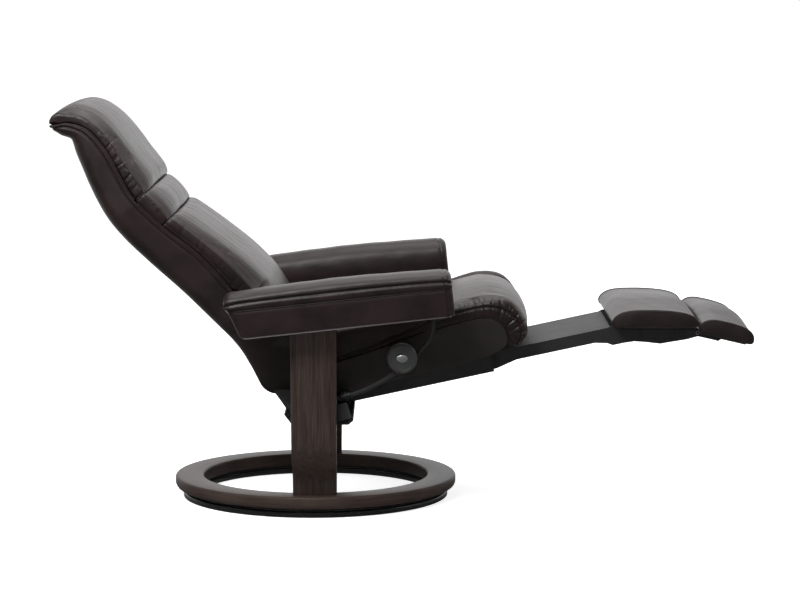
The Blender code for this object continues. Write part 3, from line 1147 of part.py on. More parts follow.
    def foot_pad_parts(self):
        """The main foot pad on its board, and the bracket that hinges it to the beam."""
        self.pad(
            "foot_pad", FOOT_PAD_SHARES, FOOT_PAD_REAR_X, FOOT_PAD_BOTTOM_Z, FOOT_PAD_LENGTH, FOOT_PAD_H,
            FOOT_PAD_HALF_W, self.foot, CHAIR)
        board_top = FOOT_PAD_BOTTOM_Z - GAP
        board_low = board_top - FOOT_BOARD_T
        low = (FOOT_BOARD_REAR_X, -FOOT_BOARD_HALF_W, board_low)
        high = (FOOT_BOARD_FRONT_X, FOOT_BOARD_HALF_W, board_top)
        self.piece("foot_pad_board", box_mesh("foot_pad_board", low, high), "black_plastic", self.foot)
        top = board_low - GAP
        span = END_HINGE_X - FOOT_HINGE_X
        outline = arc(FOOT_HINGE_X, FOOT_HINGE_Z, FOOT_HINGE_CHEEK_R, -math.pi, -math.pi + CHEEK_TURN, 3)
        under = scaled(BRACKET_UNDER_SHARES, span, -BRACKET_DROP)
        outline += [(FOOT_HINGE_X + x, top + z) for x, z in under]
        outline += arc(END_HINGE_X, END_HINGE_Z, END_HINGE_CHEEK_R, CHEEK_TURN - math.pi, math.pi / 2, 6)
        outline += [
            (BRACKET_PLATE_FRONT_X, END_HINGE_Z + END_HINGE_CHEEK_R), (BRACKET_PLATE_FRONT_X, top),
            (FOOT_HINGE_X - FOOT_HINGE_CHEEK_R, top)]
        mesh = plate_mesh("pad_bracket", outline, -BRACKET_HALF_W, BRACKET_HALF_W)
        bracket = self.piece("pad_bracket", mesh, "black_steel", self.foot)
        inner = BRACKET_HALF_W - BRACKET_CHEEK_T
        low = (FOOT_HINGE_X - FOOT_HINGE_CHEEK_R - OVERRUN, -inner, top - BRACKET_DROP - OVERRUN)
        high = (END_HINGE_X + END_HINGE_CHEEK_R + OVERRUN, inner, top - BRACKET_PLATE_T)
        inside = self.helper("bracket_inside", box_mesh("bracket_inside", low, high))
        self.combine(bracket, inside, "DIFFERENCE")
        self.combine(bracket, self.foot_hinge_hole, "DIFFERENCE")
        reach = BRACKET_HALF_W + OVERRUN
        hole = rod_mesh("end_hinge_hole", END_HINGE_PIN_R + GAP, -reach, reach, END_HINGE_X, END_HINGE_Z)
        self.end_hinge_hole = self.helper("end_hinge_hole", hole)
        self.combine(bracket, self.end_hinge_hole, "DIFFERENCE")
        ends = (-BRACKET_HALF_W, BRACKET_HALF_W)
        pin = rod_mesh("end_hinge_pin", END_HINGE_PIN_R, *ends, END_HINGE_X, END_HINGE_Z)
        self.piece("end_hinge_pin", pin, "bright_steel", self.foot)

    def end_pad_parts(self):
        """The end pad on its board, and its own bracket inside the first one."""
        self.pad(
            "end_pad", END_PAD_SHARES, END_PAD_REAR, END_PAD_BOTTOM, END_PAD_LENGTH, END_PAD_H,
            END_PAD_HALF_W, self.tip, END)
        board_top = END_PAD_BOTTOM - GAP
        board_low = board_top - END_BOARD_T
        low = (END_BOARD_REAR, -END_BOARD_HALF_W, board_low)
        high = (END_BOARD_FRONT, END_BOARD_HALF_W, board_top)
        self.piece("end_pad_board", box_mesh("end_pad_board", low, high), "black_plastic", self.tip, END)
        hinge_u, hinge_w = in_frame(END, END_HINGE_X, END_HINGE_Z)
        top = board_low - GAP
        outline = arc(hinge_u, hinge_w, END_HINGE_CHEEK_R, math.pi / 2, math.pi * 3 / 2, 6)
        outline += [
            (END_BRACKET_FRONT - END_BRACKET_DROP, hinge_w - END_HINGE_CHEEK_R),
            (END_BRACKET_FRONT, hinge_w), (END_BRACKET_FRONT, top), (END_BOARD_REAR, top)]
        mesh = plate_mesh("end_bracket", outline, -END_BRACKET_HALF_W, END_BRACKET_HALF_W)
        bracket = self.piece("end_bracket", mesh, "black_steel", self.tip, END)
        inner = END_BRACKET_HALF_W - END_BRACKET_CHEEK_T
        low = (hinge_u - END_HINGE_CHEEK_R - OVERRUN, -inner, hinge_w - END_HINGE_CHEEK_R - OVERRUN)
        high = (END_BRACKET_FRONT + OVERRUN, inner, top - END_BOARD_T / 2)
        inside = self.helper("end_bracket_inside", box_mesh("end_bracket_inside", low, high), END)
        self.combine(bracket, inside, "DIFFERENCE")
        self.combine(bracket, self.end_hinge_hole, "DIFFERENCE")

    def switch(self):
        """The footrest's two buttons in their plate on the left side panel."""
        face = PANEL_OUTER_Y + GAP
        low = (SWITCH_U - SWITCH_HALF_L, face, SWITCH_W - SWITCH_HALF_H)
        high = (SWITCH_U + SWITCH_HALF_L, face + SWITCH_T, SWITCH_W + SWITCH_HALF_H)
        mesh = box_mesh("switch_plate", low, high)
        plate = self.piece("switch_plate", mesh, "black_plastic", self.seat, SEAT)
        floor = face + SWITCH_T - BUTTON_T / 2 - BUTTON_TRAVEL
        for name, along in (("button_out", BUTTON_PITCH / 2), ("button_in", -BUTTON_PITCH / 2)):
            x, z = plane_point(SEAT, SWITCH_U + along, SWITCH_W)
            well = rod_mesh("well_" + name, BUTTON_R + GAP, floor, face + SWITCH_T + OVERRUN, x, z)
            self.combine(plate, self.helper("well_" + name, well), "DIFFERENCE")
            low_y = floor + BUTTON_TRAVEL + GAP
            mesh = rod_mesh(name, BUTTON_R, low_y, low_y + BUTTON_T, x, z)
            body = Body(name + "_body", tilted(x, z, 0), self.seat)
            self.piece(name, mesh, "knob_plastic", body)


clear_scene()
make_materials()
Chair().build()
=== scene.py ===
"""Dresses the frame of a reclining swivel chair with a powered footrest.

Metres, +Z up, +X towards the footrest. "Right" is the sitter's right, at -Y, the side that the camera sees.
"""

import logging
import math
from dataclasses import dataclass, field
from enum import Enum
from typing import Callable, Sequence

import bmesh
import bpy
import numpy as np
from mathutils import Matrix, Vector
from mathutils.bvhtree import BVHTree


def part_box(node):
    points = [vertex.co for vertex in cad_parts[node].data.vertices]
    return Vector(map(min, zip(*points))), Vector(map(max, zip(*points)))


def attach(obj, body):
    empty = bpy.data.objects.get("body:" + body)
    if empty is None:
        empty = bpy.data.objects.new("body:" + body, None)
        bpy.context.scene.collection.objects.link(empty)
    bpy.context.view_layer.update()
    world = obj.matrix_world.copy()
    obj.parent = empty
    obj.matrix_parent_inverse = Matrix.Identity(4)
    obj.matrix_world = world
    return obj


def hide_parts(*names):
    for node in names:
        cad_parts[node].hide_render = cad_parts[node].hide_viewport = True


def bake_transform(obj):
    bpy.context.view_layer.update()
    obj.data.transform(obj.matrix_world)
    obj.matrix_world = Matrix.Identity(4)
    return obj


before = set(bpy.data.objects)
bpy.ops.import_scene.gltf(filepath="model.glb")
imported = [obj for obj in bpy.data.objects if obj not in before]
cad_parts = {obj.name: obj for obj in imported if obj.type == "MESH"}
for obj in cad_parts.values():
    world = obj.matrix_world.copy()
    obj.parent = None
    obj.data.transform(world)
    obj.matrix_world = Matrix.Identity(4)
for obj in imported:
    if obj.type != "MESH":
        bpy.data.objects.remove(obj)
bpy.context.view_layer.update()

LOG = logging.getLogger("recliner")
RGB = tuple[float, float, float]
Line = Sequence[tuple[float, float]]
MM = 0.001
WHITE = (1.0, 1.0, 1.0, 1.0)
PLATE_CHAMFER = 0.0007


class Side(Enum):
    """The sitter's two sides."""

    RIGHT = -1
    LEFT = 1

    @property
    def word(self) -> str:
        """The word that node names end in."""
        return self.name.lower()


class Grain(Enum):
    """The way that wood grain runs."""

    UPRIGHT = "upright"
    ROUND = "round"


@dataclass(frozen=True)
class Plane:
    """A frame that a sub-assembly is drawn in: its first axis rises to the front by the tilt."""

    x: float
    z: float
    tilt: float

    @property
    def turn(self) -> float:
        """The tilt in radians."""
        return math.radians(self.tilt)

    def world(self, along: np.ndarray, y: np.ndarray, up: np.ndarray) -> np.ndarray:
        """Places points of the plane in the chair.

        Args:
            along: distances on the tilted first axis.
            y: distances across the chair.
            up: distances on the tilted third axis.

        Returns:
            The points, one row each.
        """
        cos, sin = math.cos(self.turn), math.sin(self.turn)
        along, y, up = np.broadcast_arrays(along, y, up)
        return np.stack([self.x + along * cos - up * sin, y, self.z + along * sin + up * cos], axis=-1)

    def local(self, points: np.ndarray) -> tuple[np.ndarray, np.ndarray, np.ndarray]:
        """Returns points of the chair as distances along, across and up in the plane."""
        cos, sin = math.cos(self.turn), math.sin(self.turn)
        dx, dz = points[:, 0] - self.x, points[:, 2] - self.z
        return dx * cos + dz * sin, points[:, 1], dz * cos - dx * sin

    def facing(self, normals: np.ndarray) -> tuple[np.ndarray, np.ndarray]:
        """Returns how far normals face along the first axis and along the third."""
        cos, sin = math.cos(self.turn), math.sin(self.turn)
        return normals[:, 0] * cos + normals[:, 2] * sin, normals[:, 0] * -sin + normals[:, 2] * cos


SWIVEL_X = -0.1945
CHAIR = Plane(SWIVEL_X, 0.0, 0.0)
ARM = Plane(SWIVEL_X + 0.008, 0.4097, 6.2)
SEAT = Plane(SWIVEL_X - 0.020, 0.367, 15.0)
BACK = Plane(SWIVEL_X - 0.020, 0.367, 42.0)
LEG = Plane(SWIVEL_X + 0.070, 0.245, 12.1)
END = Plane(SWIVEL_X + 0.832, 0.390, -13.0)
GLIDE_X = SWIVEL_X - 0.0215
GLIDE_Z = 0.5857


# Shader expressions


def operator(operation: str, flip: bool = False) -> Callable[["Value", "Value | float"], "Value"]:
    """Returns the method that adds a Math node for a Python operator.

    Args:
        operation: the node's operation.
        flip: whether the other value comes first.

    Returns:
        The method.
    """

    def method(self: "Value", other: "Value | float") -> "Value":
        pair = (other, self) if flip else (self, other)
        return self.nodes.math(operation, *pair)

    return method


class Value:
    """A shader socket that takes part in Python expressions."""

    def __init__(self, nodes: "Nodes", socket: bpy.types.NodeSocket) -> None:
        """Keeps the socket and the tree that it belongs to."""
        self.nodes = nodes
        self.socket = socket

    __add__ = __radd__ = operator("ADD")
    __sub__ = operator("SUBTRACT")
    __rsub__ = operator("SUBTRACT", flip=True)
    __mul__ = __rmul__ = operator("MULTIPLY")
    __truediv__ = operator("DIVIDE")
    __pow__ = operator("POWER")
    most = operator("MAXIMUM")

    def ramp(self, low: float, high: float, start: float = 0.0, end: float = 1.0) -> "Value":
        """Maps a range smoothly to another.

        Args:
            low: the value that gives start.
            high: the value that gives end.
            start: the result at low.
            end: the result at high.

        Returns:
            The mapped value.
        """
        settings = {"interpolation_type": "SMOOTHSTEP"}
        inputs = {"Value": self, "From Min": low, "From Max": high, "To Min": start, "To Max": end}
        return Value(self.nodes, self.nodes.node("ShaderNodeMapRange", settings, inputs).outputs["Result"])


class Nodes:
    """A node tree, and the calls that fill it."""

    def __init__(self, tree: bpy.types.NodeTree) -> None:
        """Empties the tree."""
        self.tree = tree
        tree.nodes.clear()

    def node(self, kind: str, settings: dict | None = None, inputs: dict | None = None) -> bpy.types.Node:
        """Adds a node.

        Args:
            kind: the node's type.
            settings: the node's own properties, set first.
            inputs: its sockets' values or links, by name or number.

        Returns:
            The node.
        """
        made = self.tree.nodes.new(kind)
        for key, value in (settings or {}).items():
            setattr(made, key, value)
        for key, value in (inputs or {}).items():
            self.feed(made.inputs[key], value)
        return made

    def feed(self, socket: bpy.types.NodeSocket, value: object) -> None:
        """Links a socket, or sets its value."""
        if isinstance(value, Value):
            self.tree.links.new(value.socket, socket)
        elif isinstance(value, bpy.types.NodeSocket):
            self.tree.links.new(value, socket)
        else:
            socket.default_value = value

    def math(self, operation: str, first: Value | float, second: Value | float) -> Value:
        """Adds a Math node."""
        inputs = {0: first, 1: second}
        return Value(self, self.node("ShaderNodeMath", {"operation": operation}, inputs).outputs[0])

    def mixed(self, first: object, second: object, share: Value | float) -> bpy.types.NodeSocket:
        """Mixes two colours.

        Args:
            first: the colour at share 0.
            second: the colour at share 1.
            share: the second colour's share.

        Returns:
            The mixed colour's socket.
        """
        colours = [(*one, 1.0) if isinstance(one, tuple) else one for one in (first, second)]
        inputs = {0: share, 6: colours[0], 7: colours[1]}
        return self.node("ShaderNodeMix", {"data_type": "RGBA"}, inputs).outputs[2]


class Paint(Nodes):
    """One material's node tree, and its patterns."""

    def __init__(self, name: str) -> None:
        """Starts a material with a Principled shader.

        Args:
            name: the material's name.
        """
        self.material = bpy.data.materials.new(name)
        self.material.use_nodes = True
        super().__init__(self.material.node_tree)
        self.shader = self.node("ShaderNodeBsdfPrincipled")
        self.node("ShaderNodeOutputMaterial", None, {"Surface": self.shader.outputs[0]})
        self.object = self.node("ShaderNodeTexCoord").outputs["Object"]

    def space(self, sizes: RGB, plane: Plane | None = None) -> bpy.types.NodeSocket:
        """Returns object coordinates in units of a pattern's sizes.

        Args:
            sizes: the pattern's size along each axis, in metres.
            plane: the tilted plane that the pattern lies in.

        Returns:
            The coordinates' socket.
        """
        turn = (0.0, -plane.turn, 0.0) if plane else (0.0, 0.0, 0.0)
        inputs = {"Vector": self.object, "Rotation": turn, "Scale": sizes}
        return self.node("ShaderNodeMapping", {"vector_type": "TEXTURE"}, inputs).outputs[0]

    def noise(self, space: object, detail: float = 2.0, rough: float = 0.5, bend: float = 0.0) -> Value:
        """Returns soft noise in a space, one blob to a unit."""
        inputs = {"Vector": space, "Scale": 1.0, "Detail": detail, "Roughness": rough, "Distortion": bend}
        return Value(self, self.node("ShaderNodeTexNoise", None, inputs).outputs[0])

    def cells(self, space: object) -> Value:
        """Returns the distance to the nearest of scattered points, one to a unit."""
        inputs = {"Vector": space, "Scale": 1.0}
        return Value(self, self.node("ShaderNodeTexVoronoi", {"feature": "F1"}, inputs).outputs["Distance"])

    def bump(self, height: Value, depth: float, under: bpy.types.NodeSocket | None = None) -> object:
        """Returns a normal raised by a height from 0 to 1.

        Args:
            height: the height.
            depth: the height's real size in metres.
            under: a normal to start from.

        Returns:
            The normal's socket.
        """
        inputs: dict = {"Height": height, "Distance": depth, "Strength": 1.0}
        if under:
            inputs["Normal"] = under
        return self.node("ShaderNodeBump", None, inputs).outputs[0]

    def finish(self, **inputs: object) -> bpy.types.Material:
        """Sets the shader's sockets, whose names are written with _ for spaces, and returns the material."""
        for key, value in inputs.items():
            self.feed(self.shader.inputs[key.replace("_", " ").title().replace("Ior", "IOR")], value)
        return self.material


# Finishes


@dataclass(frozen=True)
class Leather:
    """Dyed leather with fine pores, soft ripples, dents and a clouded satin sheen, with painted shade darkening its
    folds and pores.
    """

    name: str
    base: RGB
    dark: RGB
    roughness: float = 0.40
    pore: float = 0.0014
    pore_depth: float = 0.00010
    ripple: RGB = (0.110, 0.011, 0.110)
    ripple_depth: float = 0.0016
    dent_depth: float = 0.0008
    gloss: float = 0.30
    plane: Plane | None = None
    dent: RGB = (0.034, 0.034, 0.034)
    cloud: RGB = (0.075, 0.050, 0.075)

    def make(self) -> bpy.types.Material:
        """Builds the material."""
        paint = Paint(self.name)
        pores = paint.cells(paint.space((self.pore,) * 3))
        ripples = paint.noise(paint.space(self.ripple, self.plane), 2.0, 0.5, 0.3)
        dents = paint.noise(paint.space(self.dent), 2.0, 0.45)
        cloud = paint.noise(paint.space(self.cloud), 3.0, 0.55)
        # Painted shade: the tone darkens in the ripples' valleys (fold) and in the pores' pits, where the bumps below
        # sink.
        fold = ripples.ramp(0.42, 0.16)
        tone = paint.mixed(self.dark, self.base, cloud.ramp(0.30, 0.66))
        tone = paint.mixed(tone, self.dark, (pores.ramp(0.35, 0.05) * 0.35 + fold * 0.30).most(0.0))
        normal = paint.bump(pores, self.pore_depth)
        normal = paint.bump(ripples, self.ripple_depth, normal)
        normal = paint.bump(dents, self.dent_depth, normal)
        rough = cloud * 0.12 + pores * 0.08 + (self.roughness - 0.09)
        return paint.finish(base_color=tone, roughness=rough, normal=normal, specular_ior_level=self.gloss)


@dataclass(frozen=True)
class Wood:
    """Dark stained wood with long fine grain under satin lacquer."""

    name: str
    light: RGB
    dark: RGB
    grain: Grain
    fibre: float = 0.0011
    length: float = 0.060
    roughness: float = 0.42
    depth: float = 0.00018
    gloss: float = 0.12
    ring_radius: float = 0.28

    def make(self) -> bpy.types.Material:
        """Builds the material."""
        paint = Paint(self.name)
        if self.grain is Grain.ROUND:
            parts = paint.node("ShaderNodeSeparateXYZ", None, {0: paint.object})
            x = Value(paint, parts.outputs[0]) - SWIVEL_X
            y = Value(paint, parts.outputs[1])
            radius = (x * x + y * y) ** 0.5
            z = Value(paint, parts.outputs[2])
            angle = paint.math("ARCTAN2", y, x)
            rate = self.ring_radius / self.length
            inputs = {0: radius / self.fibre, 1: angle * rate, 2: z / self.fibre}
            fine = paint.node("ShaderNodeCombineXYZ", None, inputs).outputs[0]
            inputs = {0: radius / (self.fibre * 7), 1: angle * (rate / 3), 2: 0.0}
            broad = paint.node("ShaderNodeCombineXYZ", None, inputs).outputs[0]
        else:
            fine = paint.space((self.fibre, self.fibre, self.length))
            broad = paint.space((self.fibre * 7, self.fibre * 7, self.length * 3))
        fibres = paint.noise(fine, 3.0, 0.65)
        bands = paint.noise(broad, 3.0, 0.55, 0.4)
        tone = paint.mixed(self.dark, self.light, fibres.ramp(0.30, 0.72) * 0.62 + bands.ramp(0.30, 0.70) * 0.38)
        rough = fibres * 0.16 + (self.roughness - 0.08)
        normal = paint.bump(fibres, self.depth)
        return paint.finish(base_color=tone, roughness=rough, normal=normal, specular_ior_level=self.gloss)


@dataclass(frozen=True)
class Coated:
    """Powder-coated steel, or moulded plastic with a fine skin."""

    name: str
    base: RGB
    roughness: float
    speck: float = 0.0016
    depth: float = 0.00006
    gloss: float = 0.5
    wear: RGB = (0.045, 0.060, 0.045)

    def make(self) -> bpy.types.Material:
        """Builds the material."""
        paint = Paint(self.name)
        specks = paint.noise(paint.space((self.speck,) * 3), 2.0, 0.6)
        wear = paint.noise(paint.space(self.wear), 3.0, 0.6)
        lighter = tuple(min(1.0, part * 1.35 + 0.004) for part in self.base)
        tone = paint.mixed(self.base, lighter, specks.ramp(0.35, 0.75) * 0.5 + wear.ramp(0.4, 0.8) * 0.4)
        rough = specks * 0.10 + wear * 0.12 + (self.roughness - 0.11)
        normal = paint.bump(specks, self.depth)
        return paint.finish(base_color=tone, roughness=rough, normal=normal, specular_ior_level=self.gloss)


@dataclass(frozen=True)
class Bare:
    """Bare metal with fine lines from its brushing or turning."""

    name: str
    base: RGB
    roughness: float
    lines: RGB = (0.030, 0.0006, 0.0006)
    plane: Plane | None = None
    stain: RGB = (0.020, 0.020, 0.020)
    depth: float = 0.00003

    def make(self) -> bpy.types.Material:
        """Builds the material."""
        paint = Paint(self.name)
        lines = paint.noise(paint.space(self.lines, self.plane), 2.0, 0.6)
        stain = paint.noise(paint.space(self.stain), 3.0, 0.6)
        darker = tuple(part * 0.72 for part in self.base)
        tone = paint.mixed(self.base, darker, lines.ramp(0.4, 0.8) * 0.5 + stain.ramp(0.5, 0.85) * 0.4)
        rough = lines * 0.14 + stain * 0.10 + (self.roughness - 0.12)
        return paint.finish(base_color=tone, roughness=rough, normal=paint.bump(lines, self.depth), metallic=1.0)


@dataclass(frozen=True)
class Board:
    """Plain laminated board, whose layers show at its edges."""

    name: str = "layered_board"
    light: RGB = (0.320, 0.215, 0.125)
    dark: RGB = (0.150, 0.090, 0.050)
    plane: Plane | None = None

    def make(self) -> bpy.types.Material:
        """Builds the material."""
        paint = Paint(self.name)
        layers = paint.noise(paint.space((0.25, 0.25, 0.0018), self.plane), 1.0, 0.4)
        fibres = paint.noise(paint.space((0.060, 0.0012, 0.0012), self.plane), 3.0, 0.6)
        tone = paint.mixed(self.dark, self.light, layers.ramp(0.35, 0.65) * 0.6 + fibres * 0.4)
        return paint.finish(base_color=tone, roughness=fibres * 0.2 + 0.5, normal=paint.bump(fibres, 0.0001))


@dataclass(frozen=True)
class Thread:
    """Twisted sewing thread."""

    name: str
    base: RGB

    def make(self) -> bpy.types.Material:
        """Builds the material."""
        paint = Paint(self.name)
        twist = paint.noise(paint.space((0.0007, 0.0007, 0.0007)), 1.0, 0.5)
        darker = tuple(part * 0.5 for part in self.base)
        tone = paint.mixed(darker, self.base, twist.ramp(0.3, 0.7))
        return paint.finish(base_color=tone, roughness=twist * 0.2 + 0.5, normal=paint.bump(twist, 0.0002))


BROWN: RGB = (0.0165, 0.0084, 0.0078)
BROWN_DARK: RGB = (0.0086, 0.0045, 0.0042)


class Finishes:
    """Every finish of the chair, made once."""

    def __init__(self) -> None:
        """Builds the materials."""
        self.seat_leather = Leather("seat_leather", BROWN, BROWN_DARK, plane=SEAT).make()
        self.back_leather = Leather("back_leather", BROWN, BROWN_DARK, plane=Plane(0, 0, 132.0)).make()
        self.shell_leather = Leather(
            "shell_leather", BROWN, BROWN_DARK, roughness=0.46, ripple_depth=0.0004, plane=Plane(0, 0, 132.0)).make()
        self.arm_leather = Leather(
            "arm_leather", BROWN, BROWN_DARK, roughness=0.42, ripple_depth=0.0005, plane=ARM).make()
        self.foot_leather = Leather(
            "foot_leather", (0.0150, 0.0096, 0.0090), BROWN_DARK, roughness=0.42, ripple_depth=0.0003).make()
        self.cheek_leather = Leather(
            "cheek_leather", (0.0165, 0.0095, 0.0088), (0.0100, 0.0060, 0.0056), roughness=0.46,
            ripple_depth=0.0002, dent_depth=0.0004).make()
        self.side_leather = Leather(
            "side_leather", (0.0205, 0.0172, 0.0158), (0.0145, 0.0122, 0.0112), roughness=0.52, gloss=0.20,
            ripple_depth=0.0002, dent_depth=0.0003, plane=SEAT).make()
        self.upright_wood = Wood(
            "upright_wood", (0.0540, 0.0378, 0.0324), (0.0180, 0.0118, 0.0101), Grain.UPRIGHT).make()
        self.ring_wood = Wood("ring_wood", (0.0660, 0.0460, 0.0390), (0.0215, 0.0140, 0.0120), Grain.ROUND).make()
        self.dark_steel = Coated("dark_steel", (0.0185, 0.0165, 0.0160), 0.50, gloss=0.18).make()
        self.black_steel = Coated("black_steel", (0.0175, 0.0178, 0.0178), 0.52, gloss=0.09).make()
        self.black_plastic = Coated("black_plastic", (0.0065, 0.0067, 0.0068), 0.40, gloss=0.15).make()
        self.ring_plastic = Coated("ring_plastic", (0.0110, 0.0118, 0.0118), 0.22, depth=0.00002, gloss=0.5).make()
        self.knob_plastic = Coated("knob_plastic", (0.0290, 0.0300, 0.0296), 0.42, depth=0.00008, gloss=0.20).make()
        self.bright_steel = Bare("bright_steel", (0.56, 0.56, 0.57), 0.34, plane=LEG).make()
        self.silver = Bare("silver", (0.58, 0.58, 0.59), 0.38, lines=(0.0200, 0.0200, 0.0008)).make()
        self.board = Board(plane=SEAT).make()
        self.lining = Coated("lining", (0.0090, 0.0070, 0.0066), 0.80, speck=0.0009, depth=0.0002, gloss=0.15).make()
        self.thread = Thread("thread", (0.012, 0.008, 0.007)).make()


# Mesh helpers


def points_of(mesh: bpy.types.Mesh) -> np.ndarray:
    """Returns a mesh's vertices, one row each."""
    flat = np.zeros(len(mesh.vertices) * 3, np.float32)
    mesh.vertices.foreach_get("co", flat)
    return flat.reshape(-1, 3).astype(np.float64)


def normals_of(mesh: bpy.types.Mesh) -> np.ndarray:
    """Returns a mesh's vertex normals, one row each."""
    flat = np.zeros(len(mesh.vertices) * 3, np.float32)
    mesh.vertex_normals.foreach_get("vector", flat)
    return flat.reshape(-1, 3).astype(np.float64)


def set_points(mesh: bpy.types.Mesh, points: np.ndarray) -> None:
    """Moves a mesh's vertices to new places."""
    mesh.vertices.foreach_set("co", points.astype(np.float32).ravel())
    mesh.update()


def piece_of(name: str, mesh: bpy.types.Mesh) -> bpy.types.Object:
    """Puts a mesh in the scene as a new piece."""
    mesh.name = name
    made = bpy.data.objects.new(name, mesh)
    bpy.context.scene.collection.objects.link(made)
    return made


def evaluated(piece: bpy.types.Object) -> bpy.types.Mesh:
    """Returns a new mesh with the piece's modifiers in it."""
    bpy.context.view_layer.update()
    return bpy.data.meshes.new_from_object(piece.evaluated_get(bpy.context.evaluated_depsgraph_get()))


def bake(piece: bpy.types.Object) -> bpy.types.Object:
    """Applies a piece's modifiers to its mesh."""
    mesh = evaluated(piece)
    old = piece.data
    piece.modifiers.clear()
    piece.data = mesh
    if isinstance(old, bpy.types.Mesh):
        bpy.data.meshes.remove(old)
    mesh.name = piece.name
    return piece


def from_work(name: str, work: bmesh.types.BMesh) -> bpy.types.Object:
    """Turns a bmesh into a piece, with its faces pointing out."""
    bmesh.ops.remove_doubles(work, verts=work.verts, dist=0.01 * MM)
    bmesh.ops.recalc_face_normals(work, faces=work.faces)
    mesh = bpy.data.meshes.new(name)
    work.to_mesh(mesh)
    work.free()
    return piece_of(name, mesh)


def band(work: bmesh.types.BMesh, first: list, second: list) -> None:
    """Lays faces between two rings of vertices."""
    for index in range(len(first)):
        after = (index + 1) % len(first)
        work.faces.new((first[index], first[after], second[after], second[index]))


def lofted(name: str, rings: Sequence[Sequence]) -> bpy.types.Object:
    """Returns a piece whose skin lies over rings of points, with both ends closed."""
    work = bmesh.new()
    rows = [[work.verts.new(one) for one in ring] for ring in rings]
    for first, second in zip(rows, rows[1:]):
        band(work, first, second)
    work.faces.new(rows[0])
    work.faces.new(rows[-1])
    return from_work(name, work)


def dress(piece: bpy.types.Object, finish: bpy.types.Material, angle: float | None = None) -> bpy.types.Object:
    """Gives a piece its finish and its shading.

    Args:
        piece: the piece.
        finish: its material.
        angle: edges sharper than this many degrees stay sharp; None smooths them all.

    Returns:
        The piece.
    """
    piece.data.materials.clear()
    piece.data.materials.append(finish)
    piece.data.shade_smooth()
    if angle:
        piece.data.set_sharp_from_angle(angle=math.radians(angle))
    return piece


def settle(piece: bpy.types.Object, body: str, slot: str, *nodes: str) -> bpy.types.Object:
    """Hands a finished piece to its body and hides the solids that it stands for."""
    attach(piece, body)
    if nodes:
        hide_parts(*nodes)
    return piece


def deliver(piece: bpy.types.Object, finish: bpy.types.Material, angle: float | None, body: str, slot: str,
            *nodes: str) -> bpy.types.Object:
    """Dresses a piece and settles it.

    Args:
        piece: the piece.
        finish: its material.
        angle: edges sharper than this many degrees stay sharp; None smooths them all.
        body: the body that it moves with.
        slot: its slot; not used.
        *nodes: the solids that it stands for.

    Returns:
        The piece.
    """
    return settle(dress(piece, finish, angle), body, slot, *nodes)


def plate(name: str, outline: Line, levels: Sequence[float], side: Side, finish: bpy.types.Material,
          body: str) -> None:
    """Makes a flat steel plate with a chamfered outer edge.

    Args:
        name: the piece's name, without its side.
        outline: its outline in the chair's plane.
        levels: the distances from the middle of its inner face, its chamfer and its outer face.
        side: its side.
        finish: its material.
        body: the body that it moves with.
    """
    points = np.array(outline)
    middle = points.mean(axis=0)
    pull = (middle - points) / np.linalg.norm(middle - points, axis=1)[:, None]
    rings = []
    for y, inset in zip(levels, (0.0, 0.0, PLATE_CHAMFER)):
        ring = points + pull * inset
        rings.append(CHAIR.world(ring[:, 0], np.full(len(ring), side.value * y), ring[:, 1]))
    deliver(lofted(f"{name}_{side.word}", rings), finish, 30, body, "black_steel")


def revolved(name: str, profile: Line, steps: int, centre: RGB, axis: str = "Z", sign: int = 1) -> bpy.types.Object:
    """Turns a closed profile round an axis.

    Args:
        name: the piece's name.
        profile: radius and height of each corner.
        steps: the number of segments.
        centre: a point on the axis.
        axis: Z, or Y for a profile whose height points to a side.
        sign: the side that the height grows to.

    Returns:
        The piece.
    """
    work = bmesh.new()
    rows = []
    for step in range(steps):
        angle = math.tau * step / steps
        row = []
        for radius, height in profile:
            a, b = radius * math.cos(angle), radius * math.sin(angle)
            place = (a, b, height * sign) if axis == "Z" else (a, height * sign, b)
            row.append(work.verts.new([one + other for one, other in zip(place, centre)]))
        rows.append(row)
    count = len(profile)
    closed = all(radius > 0 for radius, height in profile)
    for step in range(steps):
        first, second = rows[step], rows[(step + 1) % steps]
        if closed:
            band(work, first, second)
            continue
        for index in range(count - 1):
            work.faces.new((first[index], first[index + 1], second[index + 1], second[index]))
    return from_work(name, work)


def swept(name: str, route: np.ndarray, radius: float, sides: int = 12, closed: bool = False) -> bpy.types.Object:
    """Returns a round bar along a route.

    Args:
        name: the piece's name.
        route: the route's points.
        radius: the bar's radius.
        sides: the number of its sides.
        closed: whether the route is a loop.

    Returns:
        The piece.
    """
    count = len(route)
    if closed:
        runs = np.roll(route, -1, axis=0) - np.roll(route, 1, axis=0)
    else:
        runs = np.gradient(route, axis=0)
    runs /= np.linalg.norm(runs, axis=1)[:, None] + 1e-12
    side = np.array([0.0, 1.0, 0.0])
    rows = []
    work = bmesh.new()
    for place, run in zip(route, runs):
        across = side - run * side.dot(run)
        if np.linalg.norm(across) < 0.15:
            across = np.cross(run, [0.0, 0.0, 1.0])
        across /= np.linalg.norm(across)
        up = np.cross(run, across)
        turns = [math.tau * step / sides for step in range(sides)]
        ring = [place + radius * (across * math.cos(t) + up * math.sin(t)) for t in turns]
        rows.append([work.verts.new(one) for one in ring])
    for index in range(count if closed else count - 1):
        band(work, rows[index], rows[(index + 1) % count])
    if not closed:
        work.faces.new(rows[0])
        work.faces.new(rows[-1])
    return from_work(name, work)


